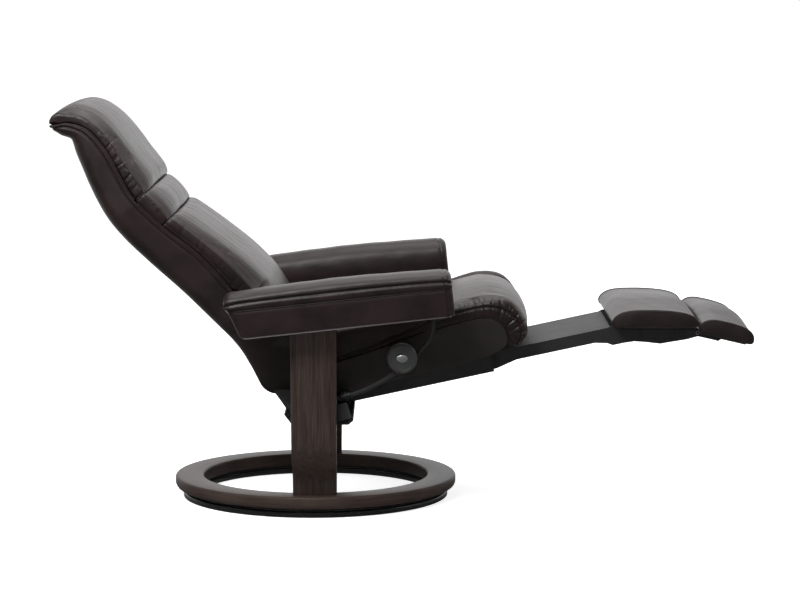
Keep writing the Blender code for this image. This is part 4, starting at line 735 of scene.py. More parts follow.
def rounded(points: Sequence[Sequence[float]], steps: int, closed: bool = False) -> np.ndarray:
    """Returns a smooth route through points, at even distances.

    Args:
        points: the points.
        steps: the number of points wanted.
        closed: whether the route is a loop.

    Returns:
        The route's points.
    """
    knots = np.asarray(points, float)
    count = len(knots)
    spans = count if closed else count - 1
    fine = []
    for span in range(spans):
        picks = [span - 1, span, span + 1, span + 2]
        picks = [pick % count if closed else min(max(pick, 0), count - 1) for pick in picks]
        a, b, c, d = knots[picks]
        for step in range(12):
            t = step / 12
            bow = (2 * a - 5 * b + 4 * c - d) * t * t
            fine.append(0.5 * (2 * b + (c - a) * t + bow + (3 * b - a - 3 * c + d) * t ** 3))
    fine.append(knots[0] if closed else knots[-1])
    line = np.array(fine)
    reach = np.concatenate([[0.0], np.cumsum(np.linalg.norm(np.diff(line, axis=0), axis=1))])
    wanted = np.linspace(0.0, reach[-1], steps + 1 if closed else steps)
    route = np.stack([np.interp(wanted, reach, line[:, axis]) for axis in range(line.shape[1])], axis=1)
    return route[:-1] if closed else route


def nearest_on(line: np.ndarray, a: np.ndarray, b: np.ndarray) -> tuple[np.ndarray, np.ndarray, np.ndarray]:
    """Measures points against a flat line.

    Args:
        line: the line's points, two columns.
        a: the points' first coordinates.
        b: their second coordinates.

    Returns:
        Each point's distance, its place along the line, and the side that it is on, -1 or 1.
    """
    best = np.full(len(a), np.inf)
    along = np.zeros(len(a))
    side = np.ones(len(a))
    reach = 0.0
    for first, second in zip(line[:-1], line[1:]):
        run = second - first
        length = float(np.hypot(*run)) + 1e-12
        run = run / length
        da, db = a - first[0], b - first[1]
        t = np.clip(da * run[0] + db * run[1], 0.0, length)
        gap = np.hypot(da - t * run[0], db - t * run[1])
        closer = gap < best
        best = np.where(closer, gap, best)
        along = np.where(closer, reach + t, along)
        side = np.where(closer, np.sign(run[0] * db - run[1] * da), side)
        reach += length
    return best, along, side


def bell(value: np.ndarray, width: float) -> np.ndarray:
    """Returns a soft hump of a width about 0."""
    return np.exp(-((value / width) ** 2))


def step_up(value: np.ndarray, low: float, high: float) -> np.ndarray:
    """Returns a smooth step from 0 at low to 1 at high."""
    t = np.clip((value - low) / (high - low), 0.0, 1.0)
    return t * t * (3 - 2 * t)


# Upholstery


@dataclass
class Seam:
    """A sewn line on a pad, drawn in the pad's plane and cut through it from side to side.

    A pad's side seams cut only what is further out than from_y. Gathers are the short folds that the
    thread draws into the leather beside a curved seam.
    """

    line: Line
    from_y: float = 0.0
    soft_y: float = 0.003
    width: float = 0.0030
    depth: float = 0.0022
    gather_pitch: float = 0.0
    gather_height: float = 0.0
    gather_reach: float = 0.012
    gather_from: float = 0.0
    gather_to: float = 1.0

    def cut(self, plane: Plane, points: np.ndarray, normals: np.ndarray) -> np.ndarray:
        """Returns how far each point moves along its normal."""
        a, y, b = plane.local(points)
        line = rounded(self.line, 90)
        gap, along, side = nearest_on(line, a, b)
        out = step_up(np.abs(y), self.from_y - self.soft_y, self.from_y + self.soft_y) if self.from_y else 1.0
        move = -self.depth * bell(gap, self.width)
        if self.gather_pitch:
            reach = float(np.linalg.norm(np.diff(line, axis=0), axis=1).sum())
            share = along / reach
            zone = step_up(share, self.gather_from - 0.04, self.gather_from + 0.04)
            zone = zone * (1 - step_up(share, self.gather_to - 0.04, self.gather_to + 0.04))
            phase = math.tau * along / self.gather_pitch
            drift = 0.8 * gap / self.gather_reach * np.sin(phase * 0.23)
            phase = phase + 1.3 * np.sin(phase * 0.37) + side * gap * 70 + drift
            far = np.clip(gap / self.gather_reach, 0, 1)
            crease = (0.5 - 0.5 * np.cos(phase)) ** (2.2 + 3.0 * far)
            wave = 0.25 - 1.15 * crease * (0.55 + 0.45 * np.sin(phase * 0.61 + 0.4))
            fade = np.exp(-((gap / self.gather_reach) ** 2)) * (1 - 0.5 * bell(gap, self.width))
            move = move + self.gather_height * wave * fade * zone
        return move * out

    def gathered(self, plane: Plane, points: np.ndarray) -> np.ndarray:
        """Returns which points lie where the leather is gathered."""
        a, y, b = plane.local(points)
        gap = nearest_on(rounded(self.line, 60), a, b)[0]
        return (gap < self.gather_reach * 1.5) & (np.abs(y) > self.from_y - self.soft_y)


@dataclass
class Channel:
    """A valley that runs the length of a pad at a distance from its middle."""

    at_y: float
    width: float
    depth: float
    from_along: float
    to_along: float
    fade: float = 0.05

    def cut(self, plane: Plane, points: np.ndarray, normals: np.ndarray) -> np.ndarray:
        """Returns how far each point moves along its normal."""
        a, y, b = plane.local(points)
        front, up = plane.facing(normals)
        shown = step_up(np.maximum(up, front), 0.15, 0.6)
        zone = step_up(a, self.from_along, self.from_along + self.fade)
        zone = zone * (1 - step_up(a, self.to_along - self.fade, self.to_along))
        return -self.depth * bell(np.abs(y) - self.at_y, self.width) * zone * shown


@dataclass
class Pad:
    """A stuffed leather piece that stands for a plain closed solid."""

    name: str
    node: str
    body: str
    plane: Plane
    finish: bpy.types.Material
    voxel: float = 0.0055
    shrink: float = 0.0035
    cap: float = 0.0040
    smoothing: int = 4
    pressure: float = 4.0
    fill: float = 0.7
    slot: str = "leather"
    sewing: Sequence[object] = field(default_factory=tuple)
    shape: Callable[[np.ndarray, np.ndarray], np.ndarray] | None = None
    base: Callable[[], bpy.types.Object] | None = None

    def start(self) -> bpy.types.Object:
        """Draws the plain shape, or copies and welds the solid, and draws it in a little."""
        if self.base:
            piece = self.base()
            piece.name = self.name
        else:
            work = bmesh.new()
            work.from_mesh(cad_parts[self.node].data)
            bmesh.ops.remove_doubles(work, verts=work.verts, dist=0.02 * MM)
            mesh = bpy.data.meshes.new(self.name)
            work.to_mesh(mesh)
            work.free()
            piece = piece_of(self.name, mesh)
        remesh = piece.modifiers.new("remesh", "REMESH")
        remesh.mode = "VOXEL"
        remesh.voxel_size = self.voxel
        remesh.use_smooth_shade = True
        bake(piece)
        smoothing = piece.modifiers.new("smoothing", "SMOOTH")
        smoothing.factor = 0.5
        smoothing.iterations = self.smoothing
        bake(piece)
        mesh = piece.data
        set_points(mesh, points_of(mesh) - normals_of(mesh) * self.shrink)
        return piece

    def swell(self, piece: bpy.types.Object) -> None:
        """Blows the piece up as cloth under pressure, to its full size and a capped distance from it."""
        full = points_of(piece.data) + normals_of(piece.data) * self.shrink
        scene = bpy.context.scene
        scene.frame_set(1)
        cloth = piece.modifiers.new("cloth", "CLOTH")
        cloth.settings.quality = 4
        cloth.settings.mass = 0.3
        cloth.settings.tension_stiffness = 25
        cloth.settings.compression_stiffness = 25
        cloth.settings.shear_stiffness = 10
        cloth.settings.bending_stiffness = 0.8
        cloth.settings.use_pressure = True
        cloth.settings.uniform_pressure_force = self.pressure
        cloth.settings.effector_weights.gravity = 0
        cloth.point_cache.frame_start = 1
        cloth.point_cache.frame_end = 20
        for now in range(1, 21):
            scene.frame_set(now)
        after = points_of(evaluated(piece))
        piece.modifiers.clear()
        scene.frame_set(1)
        move = after - full
        length = np.linalg.norm(move, axis=1)[:, None] + 1e-12
        set_points(piece.data, full + move / length * self.cap * np.tanh(length / self.cap))

    def make(self) -> bpy.types.Object:
        """Makes, sews and dresses the pad, and hands it over."""
        piece = self.start()
        self.swell(piece)
        rounding = piece.modifiers.new("rounding", "SUBSURF")
        rounding.levels = 1
        rounding.render_levels = 1
        bake(piece)
        self.refine(piece)
        self.sew(piece)
        dress(piece, self.finish)
        settle(piece, self.body, self.slot, self.node)
        LOG.info("%s: %d faces", self.name, len(piece.data.polygons))
        return piece

    def refine(self, piece: bpy.types.Object) -> None:
        """Divides the mesh once more where the leather is gathered."""
        seams = [one for one in self.sewing if isinstance(one, Seam) and one.gather_height > 0.0025]
        if not seams:
            return
        points = points_of(piece.data)
        inside = np.any([one.gathered(self.plane, points) for one in seams], axis=0)
        work = bmesh.new()
        work.from_mesh(piece.data)
        edges = [edge for edge in work.edges if inside[edge.verts[0].index] and inside[edge.verts[1].index]]
        bmesh.ops.subdivide_edges(work, edges=edges, cuts=1, use_grid_fill=True, smooth=0.6)
        work.to_mesh(piece.data)
        work.free()

    def sew(self, piece: bpy.types.Object) -> None:
        """Shapes the pad and cuts its seams and channels into it."""
        mesh = piece.data
        points = points_of(mesh)
        if self.shape:
            points = self.shape(points, normals_of(mesh))
            set_points(mesh, points)
        normals = normals_of(mesh)
        move = sum((one.cut(self.plane, points, normals) for one in self.sewing), np.zeros(len(points)))
        set_points(mesh, points + normals * move[:, None])


class Copies(Nodes):
    """A geometry node tree that sets copies of a small shape on points."""

    def __init__(self, name: str, sizes: dict[str, float]) -> None:
        """Starts the tree.

        Args:
            name: the tree's name.
            sizes: the sizes that it takes, by name.
        """
        super().__init__(bpy.data.node_groups.new(name, "GeometryNodeTree"))
        self.sizes = sizes
        face = self.tree.interface
        face.new_socket("Places", in_out="INPUT", socket_type="NodeSocketGeometry")
        for word in sizes:
            face.new_socket(word, in_out="INPUT", socket_type="NodeSocketFloat")
        face.new_socket("Copies", in_out="OUTPUT", socket_type="NodeSocketGeometry")
        self.given = self.node("NodeGroupInput").outputs

    def lay(self, name: str, holder: bpy.types.Object, inputs: dict, finish: bpy.types.Material) -> bpy.types.Object:
        """Ends the tree and runs it.

        Args:
            name: the piece's name.
            holder: the object whose points take the copies; it is removed.
            inputs: the points, the shape and its turn.
            finish: the copies' material.

        Returns:
            The copies, as one plain mesh.
        """
        copies = self.node("GeometryNodeInstanceOnPoints", None, inputs).outputs["Instances"]
        real = self.node("GeometryNodeRealizeInstances", None, {"Geometry": copies}).outputs["Geometry"]
        coat = self.node("GeometryNodeSetMaterial", None, {"Geometry": real, "Material": finish})
        self.node("NodeGroupOutput", None, {"Copies": coat.outputs["Geometry"]})
        bpy.context.scene.collection.objects.link(holder)
        modifier = holder.modifiers.new(self.tree.name, "NODES")
        modifier.node_group = self.tree
        for item in self.tree.interface.items_tree:
            if item.item_type == "SOCKET" and item.in_out == "INPUT" and item.name in self.sizes:
                modifier[item.identifier] = self.sizes[item.name]
        mesh = evaluated(holder)
        bpy.data.objects.remove(holder)
        bpy.data.node_groups.remove(self.tree)
        return piece_of(name, mesh)


@dataclass(frozen=True)
class Stitching:
    """Rows of stitches, set along a route by geometry nodes."""

    pitch: float = 0.0060
    length: float = 0.0042
    radius: float = 0.00055

    def sew(self, name: str, routes: Sequence[np.ndarray], pad: bpy.types.Object, finish: bpy.types.Material,
            body: str) -> bpy.types.Object:
        """Lays rows of stitches on a pad.

        Args:
            name: the piece's name.
            routes: the rows' points, near the pad.
            pad: the pad that the stitches lie on.
            finish: the thread's material.
            body: the body that they move with.

        Returns:
            The stitches, as one plain mesh.
        """
        bpy.context.view_layer.update()
        skin = BVHTree.FromObject(pad, bpy.context.evaluated_depsgraph_get())
        curve = bpy.data.curves.new(name, "CURVE")
        curve.dimensions = "3D"
        for route in routes:
            spline = curve.splines.new("POLY")
            spline.points.add(len(route) - 1)
            for point, place in zip(spline.points, route):
                hit, normal, index, gap = skin.find_nearest(Vector(place))
                point.co = (*(hit + normal * self.radius * 0.4), 1.0)
        stitches = Copies("stitches", {"Pitch": self.pitch, "Length": self.length, "Radius": self.radius})
        given = stitches.given
        inputs = {"Curve": given["Places"], "Length": given["Pitch"]}
        points = stitches.node("GeometryNodeCurveToPoints", {"mode": "LENGTH"}, inputs).outputs
        inputs = {"Vertices": 6, "Depth": given["Length"], "Radius": given["Radius"]}
        shape = stitches.node("GeometryNodeMeshCylinder", None, inputs).outputs["Mesh"]
        inputs = {"Points": points["Points"], "Rotation": points["Rotation"], "Instance": shape}
        made = stitches.lay(name, bpy.data.objects.new(name, curve), inputs, finish)
        bpy.data.curves.remove(curve)
        return deliver(made, finish, 40, body, "leather")


def offset_row(line: Line, plane: Plane, y: float, shift: float, steps: int = 120) -> np.ndarray:
    """Returns a row beside a seam: the seam's line moved by a shift to its left, at a place across."""
    route = rounded(line, steps)
    runs = np.gradient(route, axis=0)
    runs /= np.linalg.norm(runs, axis=1)[:, None]
    route = route + np.stack([-runs[:, 1], runs[:, 0]], axis=1) * shift
    return plane.world(route[:, 0], np.full(len(route), y), route[:, 1])


# Sub-assemblies


@dataclass
class Base:
    """The rings on the floor and the uprights."""

    finishes: Finishes
    steps: int = 192
    ring_outer: float = 0.310
    ring_inner: float = 0.2475
    ring_low: float = 0.020
    ring_high: float = 0.047
    ring_edge: float = 0.005
    ring_under: float = 0.012
    floor_outer: float = 0.292
    floor_inner: float = 0.256
    floor_high: float = 0.012
    upright_t: float = 0.028
    upright_top_w: float = 0.098
    upright_foot_w: float = 0.093
    upright_x: float = 0.006
    foot_y: float = 0.266
    top_y: float = 0.334
    bend_low: float = 0.075
    bend_high: float = 0.172
    edge: float = 0.0030

    def quarter(self, radius: float, height: float, size: float, start: float, steps: int = 4) -> list:
        """Returns a quarter turn of a profile about a point."""
        angles = [math.radians(start - 90 * step / steps) for step in range(steps + 1)]
        return [(radius + size * math.cos(t), height + size * math.sin(t)) for t in angles]

    def rings(self) -> None:
        """The wooden ring, and the black one under it."""
        outer, inner = self.ring_outer, self.ring_inner
        profile = self.quarter(outer - self.ring_edge, self.ring_high - self.ring_edge, self.ring_edge, 90)
        profile += self.quarter(outer - self.ring_under, self.ring_low + self.ring_under, self.ring_under, 0, 6)
        profile += self.quarter(inner + self.ring_edge, self.ring_low + self.ring_edge, self.ring_edge, -90)
        profile += self.quarter(inner + self.ring_edge, self.ring_high - self.ring_edge, self.ring_edge, 180)
        ring = revolved("wooden_ring", profile, self.steps, (SWIVEL_X, 0, 0))
        deliver(ring, self.finishes.ring_wood, 40, "base_body", "wood", "base_ring")
        size = 0.0030
        outer, inner = self.floor_outer, self.floor_inner
        profile = self.quarter(outer - size, self.floor_high - size, size, 90)
        profile += [(outer, 0.0004), (outer - 0.0008, 0.0), (inner + 0.001, 0.0), (inner, 0.001)]
        profile += self.quarter(inner + 0.001, self.floor_high - 0.001, 0.001, 180, 2)
        ring = revolved("turning_ring", profile, self.steps, (SWIVEL_X, 0, 0))
        deliver(ring, self.finishes.ring_plastic, 40, "floor_ring_body", "black_plastic", "floor_ring")

    def upright(self, side: Side) -> None:
        """A bent upright: its foot on the ring, its top under the arm."""
        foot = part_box(f"upright_{side.word}")[0][2]
        top = 0.409
        levels = [foot, foot + 0.010, foot + 0.020]
        levels += list(np.linspace(self.bend_low, self.bend_high, 33))
        levels += list(np.linspace(self.bend_high, top, 14))[1:]
        half_t = self.upright_t / 2
        rings = []
        for z in levels:
            t = min(max((z - self.bend_low) / (self.bend_high - self.bend_low), 0.0), 1.0)
            share = (1 - math.cos(math.pi * t)) / 2
            y = self.foot_y + (self.top_y - self.foot_y) * share
            lean = math.sin(math.pi * t) * math.pi / 2 * (self.top_y - self.foot_y) / (self.bend_high - self.bend_low)
            thick = half_t * math.sqrt(1 + lean * lean) if 0 < t < 1 else half_t
            rise = (z - foot) / (0.41 - foot)
            half_w = (self.upright_foot_w + (self.upright_top_w - self.upright_foot_w) * rise) / 2
            corners = []
            for sx, sy, start in ((1, 1, 0), (-1, 1, 90), (-1, -1, 180), (1, -1, 270)):
                for step in range(4):
                    angle = math.radians(start + 30 * step)
                    cx = sx * (half_w - self.edge) + self.edge * math.cos(angle)
                    cy = sy * (thick - self.edge) + self.edge * math.sin(angle)
                    corners.append((cx, cy))
            ring = []
            for cx, cy in corners:
                lift = (ARM.z - top + (cx - 0.002) * math.tan(ARM.turn)) if z == levels[-1] else 0.0
                ring.append((SWIVEL_X + self.upright_x + cx, side.value * (y + cy), z + lift))
            rings.append(ring)
        made = lofted(f"wooden_upright_{side.word}", rings)
        deliver(made, self.finishes.upright_wood, 32, "base_body", "wood", f"upright_{side.word}")

    def build(self) -> None:
        """Builds the base."""
        self.rings()
        for side in Side:
            self.upright(side)
        LOG.info("base built")


@dataclass
class Arms:
    """The two arms: a firm lower part, a soft pad sewn over it and the piping between them."""

    finishes: Finishes
    middle_y: float = 0.3470
    rear: float = -0.1725
    front: float = 0.2955
    end_r: float = 0.0170
    slant: float = 0.0210
    join_up: float = 0.0595
    seam_up: float = 0.0785
    steps: int = 150
    section: Line = (
        (0.0440, 0.0000), (0.0472, 0.0025), (0.0476, 0.0150), (0.0473, 0.0350), (0.0470, 0.0540), (0.0455, 0.0588),
        (0.0458, 0.0606), (0.0492, 0.0636), (0.0502, 0.0700), (0.0497, 0.0755), (0.0480, 0.0785), (0.0493, 0.0822),
        (0.0484, 0.0880), (0.0445, 0.0935), (0.0380, 0.0980), (0.0270, 0.1012), (0.0120, 0.1030), (0.0000, 0.1034),
        (-0.0130, 0.1022), (-0.0250, 0.0985), (-0.0350, 0.0915), (-0.0425, 0.0815), (-0.0468, 0.0690),
        (-0.0490, 0.0540), (-0.0494, 0.0390), (-0.0486, 0.0200), (-0.0474, 0.0035), (-0.0440, 0.0000))

    def row(self, along: float) -> np.ndarray:
        """Returns the arm's section at a place along it.

        Args:
            along: the place, in the arm's plane.

        Returns:
            The section's places along, across from the arm's middle, and up.
        """
        gap = max(0.0, min(along - self.rear, self.front - along))
        reach = 1 - min(gap / self.end_r, 1.0)
        shrink = 1 - math.sqrt(max(0.0, 1 - reach * reach))
        line = np.array(self.section)
        upper = step_up(line[:, 1], 0.060, 0.100)
        across = line[:, 0] * (1 - 0.21 * shrink)
        top = 0.0140 * (1 - math.cos(math.pi * (along - 0.06) / 0.47)) * 0.5
        up = line[:, 1] - (0.0150 * shrink + top) * upper + 0.0070 * shrink * (1 - step_up(line[:, 1], 0.0, 0.040))
        back = 1 - step_up(np.array(along), self.rear, self.rear + 0.11)
        shift = self.slant * (1 - np.clip(up / self.join_up, 0, 1)) * back
        overhang = -0.0085 * step_up(up, self.join_up - 0.001, self.join_up + 0.010) * back
        return np.stack([along + shift + overhang, across, up], axis=1)

    def shape(self, side: Side) -> bpy.types.Object:
        """Draws one arm as a skin over its sections."""
        turns = np.linspace(0, math.pi, 16)[:-1] / 2
        ends = self.end_r * (1 - np.cos(turns))
        places = list(self.rear + ends) + list(np.linspace(self.rear + self.end_r, self.front - self.end_r, self.steps))
        places += list(self.front - ends[::-1])
        rings = []
        for along in places:
            line = rounded(self.row(along), 130, closed=True)
            rings.append(ARM.world(line[:, 0], side.value * (self.middle_y + line[:, 1]), line[:, 2]))
        return lofted(f"padded_arm_{side.word}", rings)

    def build(self) -> None:
        """Builds both arms."""
        finish = self.finishes.arm_leather
        upper = [(self.rear - 0.010, self.seam_up - 0.0060), (-0.120, self.seam_up - 0.0010), (0.0, self.seam_up),
                 (0.170, self.seam_up), (0.266, self.seam_up - 0.0030), (0.305, self.seam_up - 0.0100)]
        front = [(0.2830, -0.010), (0.2840, 0.030), (0.2835, 0.065), (0.2790, 0.100), (0.2750, 0.110)]
        stitching = Stitching()
        for side in Side:
            arm = self.shape(side)
            points, normals = points_of(arm.data), normals_of(arm.data)
            outer = step_up(side.value * points[:, 1], self.middle_y - 0.004, self.middle_y + 0.004)
            move = Seam(upper, width=0.0022, depth=0.0034, gather_pitch=0.0150, gather_height=0.0005,
                        gather_reach=0.010).cut(ARM, points, normals) * outer
            move += Seam(front, width=0.0018, depth=0.0018, gather_pitch=0.0075, gather_height=0.0013,
                         gather_reach=0.007).cut(ARM, points, normals)
            a, y, b = ARM.local(points)
            move += 0.0005 * np.sin(a * 61 + b * 40) * np.sin(a * 23 + 1.1) * step_up(b, 0.060, 0.075)
            set_points(arm.data, points + normals * move[:, None])
            dress(arm, finish)
            settle(arm, "base_body", "leather", f"arm_pad_{side.word}", f"arm_body_{side.word}")
            places = np.linspace(self.rear + 0.0015, self.front - 0.0015, 150)
            line = np.array([self.row(along)[5:7].mean(axis=0) for along in places])
            route = ARM.world(line[:, 0], side.value * (self.middle_y + line[:, 1] + 0.0002), line[:, 2])
            cord = swept(f"arm_piping_{side.word}", route, 0.0016, 10)
            deliver(cord, finish, None, "base_body", "leather")
            y = side.value * (self.middle_y + 0.060)
            stitching.sew(
                f"arm_stitches_{side.word}", [offset_row(upper[1:-1], ARM, y, 0.0040, 110)], arm, self.finishes.thread,
                "base_body")
        LOG.info("arms built")


@dataclass
class Seat:
    """The seat's cushion with its rounded front, its stitches and the welts along its side panels."""

    finishes: Finishes
    seam: Line = (
        (0.022, -0.046), (0.120, -0.042), (0.190, -0.034), (0.231, -0.028), (0.289, -0.020), (0.350, -0.018),
        (0.385, -0.020), (0.410, -0.026), (0.430, -0.037), (0.445, -0.052), (0.454, -0.072), (0.456, -0.092),
        (0.448, -0.110), (0.436, -0.118))
    panel_top: Line = (
        (0.010, -0.059), (0.062, -0.057), (0.129, -0.053), (0.204, -0.048), (0.285, -0.037), (0.340, -0.036),
        (0.374, -0.0385), (0.3985, -0.0462), (0.4135, -0.0578), (0.4225, -0.073), (0.4240, -0.092), (0.419, -0.110))
    welt_y: float = 0.2695
    welt_r: float = 0.0045

    def shape(self, points: np.ndarray, normals: np.ndarray) -> np.ndarray:
        """Crowns the seat's middle, and raises its side rolls, most towards the rear."""
        a, y, b = SEAT.local(points)
        up = SEAT.facing(normals)[1]
        lift = 0.0045 * bell(y, 0.150) * step_up(up, 0.3, 0.9) * step_up(a, 0.02, 0.12)
        lift += 0.0022 * bell(np.abs(y) - 0.245, 0.024) * step_up(up, 0.2, 0.8) * step_up(a, 0.05, 0.12)
        rise = np.clip(0.0290 - 0.098 * a, 0.0, 0.0230) * step_up(a, 0.0, 0.050) * step_up(b, -0.042, -0.010)
        lift += rise * step_up(np.abs(y), 0.215, 0.260)
        moved = points.copy()
        moved[:, 0] -= math.sin(SEAT.turn) * lift
        moved[:, 2] += math.cos(SEAT.turn) * lift
        return moved

    def build(self) -> None:
        """Builds the seat."""
        side_seam = Seam(self.seam, from_y=0.262, width=0.0026, depth=0.0034)
        gathers = Seam(
            self.seam, from_y=0.252, soft_y=0.014, width=0.0026, depth=0.0, gather_pitch=0.0112,
            gather_height=0.0026, gather_reach=0.018, gather_from=0.64, gather_to=0.97)
        cushion = Pad(
            "stuffed_seat", "seat_cushion", "seat_body", SEAT, self.finishes.seat_leather, voxel=0.0055,
            shrink=0.0050, cap=0.0035, fill=0.7, shape=self.shape,
            sewing=(
                side_seam, gathers,
                Channel(0.213, 0.0080, 0.0065, 0.0, 0.50),
                Channel(0.213, 0.0250, 0.0030, 0.0, 0.50),
            )).make()
        rows = [offset_row(self.seam, SEAT, side.value * 0.284, 0.0060, 150) for side in Side]
        Stitching().sew("seat_stitches", rows, cushion, self.finishes.thread, "seat_body")
        edge = rounded(self.panel_top, 160)
        for side in Side:
            route = SEAT.world(edge[:, 0], np.full(len(edge), side.value * self.welt_y), edge[:, 1])
            cord = swept(f"seat_welt_{side.word}", route, self.welt_r, 10)
            deliver(cord, self.finishes.seat_leather, None, "seat_body", "leather")
        LOG.info("seat built")


@dataclass
class Back:
    """The back and the headrest: three front pads, and one leather shell behind them."""

    finishes: Finishes
    divide: Line = (
        (-0.0410, -0.0700), (0.0270, -0.0528), (0.1145, -0.0416), (0.2060, -0.0330), (0.2885, -0.0350),
        (0.3660, -0.0488), (0.4155, -0.0545), (0.4580, -0.0570), (0.4910, -0.0535), (0.5310, -0.0442),
        (0.5710, -0.0350), (0.6090, -0.0314), (0.6445, -0.0356), (0.6750, -0.0541), (0.6915, -0.0790),
        (0.6990, -0.0862))
    rear: Line = (
        (-0.0610, -0.0740), (-0.0570, -0.0870), (-0.0475, -0.1080), (-0.0380, -0.1205), (-0.0245, -0.1275),
        (-0.0090, -0.1290), (0.0110, -0.1240), (0.0470, -0.1150), (0.0900, -0.1095), (0.1850, -0.1120),
        (0.2840, -0.1210), (0.3860, -0.1310), (0.4320, -0.1322), (0.4760, -0.1300), (0.5140, -0.1230),
        (0.5510, -0.1120), (0.5850, -0.1000), (0.6200, -0.0880), (0.6390, -0.0790), (0.6480, -0.0755),
        (0.6560, -0.0785), (0.6670, -0.0850), (0.6800, -0.0886), (0.6900, -0.0912), (0.6950, -0.0912),
        (0.6990, -0.0885))
    cushion_front: Line = (
        (0.3885, -0.0460), (0.3885, -0.0185), (0.3868, -0.0120), (0.3800, -0.0074), (0.3560, -0.0008),
        (0.3200, 0.0075), (0.2930, 0.0132), (0.2550, 0.0205), (0.2197, 0.0262), (0.1830, 0.0295), (0.1465, 0.0300),
        (0.1100, 0.0262), (0.0779, 0.0198), (0.0450, 0.0130), (0.0184, 0.0070), (-0.0040, 0.0000),
        (-0.0054, -0.0264))
    neck_front: Line = (
        (0.3825, -0.0480), (0.3825, -0.0185), (0.3842, -0.0122), (0.3910, -0.0085), (0.4050, -0.0064),
        (0.4225, -0.0056), (0.4400, -0.0066), (0.4540, -0.0094), (0.4608, -0.0130), (0.4625, -0.0195),
        (0.4625, -0.0500))
    head_front: Line = (
        (0.4565, -0.0500), (0.4565, -0.0195), (0.4582, -0.0128), (0.4650, -0.0080), (0.4807, -0.0033),
        (0.5080, -0.0010), (0.5336, 0.0005), (0.5610, 0.0036), (0.5890, 0.0060), (0.6160, 0.0072), (0.6394, 0.0058),
        (0.6620, 0.0018), (0.6798, -0.0050), (0.6935, -0.0140), (0.7035, -0.0255), (0.7098, -0.0400),
        (0.7122, -0.0540), (0.7112, -0.0700), (0.7072, -0.0830), (0.6990, -0.0925))
    depths: Line = (
        (0.0, 1.040), (0.45, 1.015), (0.62, 0.990), (0.72, 0.955), (0.80, 0.900), (0.865, 0.830), (0.915, 0.745),
        (0.955, 0.650), (0.985, 0.560), (1.0, 0.490))
    bulge: float = 0.0030

    def half_width(self, height: np.ndarray) -> np.ndarray:
        """Returns the back's half width at heights along it."""
        return np.interp(height, (0.095, 0.140, 0.458, 0.710), (0.2485, 0.2640, 0.2640, 0.2380))

    def base(self, front: Line) -> Callable[[], bpy.types.Object]:
        """Returns the call that draws a front pad's plain shape.

        Args:
            front: heights and offsets of the pad's front, in the middle of the chair.

        Returns:
            The call.
        """
        line = rounded(front, 90)
        seam = rounded(self.divide, 200)
        low, high = min(line[0, 0], line[-1, 0]), max(line[0, 0], line[-1, 0])
        rear = np.linspace(line[-1, 0], line[0, 0], 40)
        rear = np.stack([rear, np.interp(rear, seam[:, 0], seam[:, 1]) - 0.0030], axis=1)

        def draw() -> bpy.types.Object:
            rings = []
            table = rounded(self.depths, 60)
            shares = np.concatenate([np.linspace(0, 0.8, 24), 1 - 0.2 * np.cos(np.linspace(0, math.pi / 2, 24))[1:]])
            for share in list(-shares[::-1]) + list(shares[1:]):
                depth = float(np.interp(abs(share), table[:, 0], table[:, 1]))
                ground = np.interp(line[:, 0], seam[:, 0], seam[:, 1])
                offsets = np.concatenate([ground + (line[:, 1] - ground) * depth, rear[:, 1]])
                heights = np.concatenate([line[:, 0], rear[:, 0]])
                rings.append(BACK.world(offsets, self.half_width(heights) * share, heights))
            return lofted("pad_shape", rings)

        return draw

    def crown(self, points: np.ndarray, normals: np.ndarray) -> np.ndarray:
        """Lays soft lengthwise ripples and a low crown on a front pad."""
        a, y, b = BACK.local(points)
        front = BACK.facing(normals)[0]
        lift = 0.0018 * bell(y, 0.130)
        waves = ((0.28, 71, 9, 0.4), (0.20, 117, 12, 2.1), (0.11, 173, 7, 4.0), (0.05, 251, 17, 5.2))
        for size, rate, bend, phase in waves:
            share = 0.6 + 0.4 * np.sin(b * 15 + rate)
            lift += size * MM * np.sin(y * rate + phase + 1.1 * np.sin(b * bend + phase)) * share
        lift *= step_up(front, 0.3, 0.9)
        moved = points.copy()
        moved[:, 0] += math.cos(BACK.turn) * lift
        moved[:, 2] += math.sin(BACK.turn) * lift
        return moved

    def pads(self) -> None:
        """The back cushion, the neck pad and the headrest cushion."""
        leather = self.finishes.back_leather
        seam = [(offset + 0.0095, height) for height, offset in self.divide]
        fold = [(-0.040, 0.186), (-0.020, 0.158), (0.004, 0.143), (0.030, 0.146)]
        lower_fold = [(-0.03, 0.150), (0.0, 0.118), (0.030, 0.105)]
        cushion = Pad(
            "stuffed_back", "back_cushion", "back_body", BACK, leather, voxel=0.0050, shrink=0.0045,
            cap=0.0035, fill=0.7, shape=self.crown, base=self.base(self.cushion_front),
            sewing=(
                Seam(seam[:7], from_y=0.236, width=0.0022, depth=0.0014, gather_pitch=0.0210, gather_height=0.0009,
                     gather_reach=0.018),
                Seam(fold, from_y=0.206, soft_y=0.022, width=0.0060, depth=0.0060),
                Seam(lower_fold, from_y=0.212, soft_y=0.022, width=0.0050, depth=0.0034),
            )).make()
        Pad(
            "stuffed_neck", "neck_cushion", "back_body", BACK, leather, voxel=0.0040, shrink=0.0025,
            cap=0.0025, smoothing=3, fill=0.7, shape=self.crown, base=self.base(self.neck_front)).make()
        Pad(
            "stuffed_head", "head_cushion", "headrest_body", BACK, leather, voxel=0.0046, shrink=0.0040,
            cap=0.0035, smoothing=3, fill=0.7, shape=self.crown, base=self.base(self.head_front),
            sewing=(
                Seam([(offset + 0.0020, height) for height, offset in self.divide[7:]], from_y=0.206, width=0.0022,
                     soft_y=0.012, depth=0.0012, gather_pitch=0.0155, gather_height=0.0026, gather_reach=0.017,
                     gather_to=0.60),
            )).make()
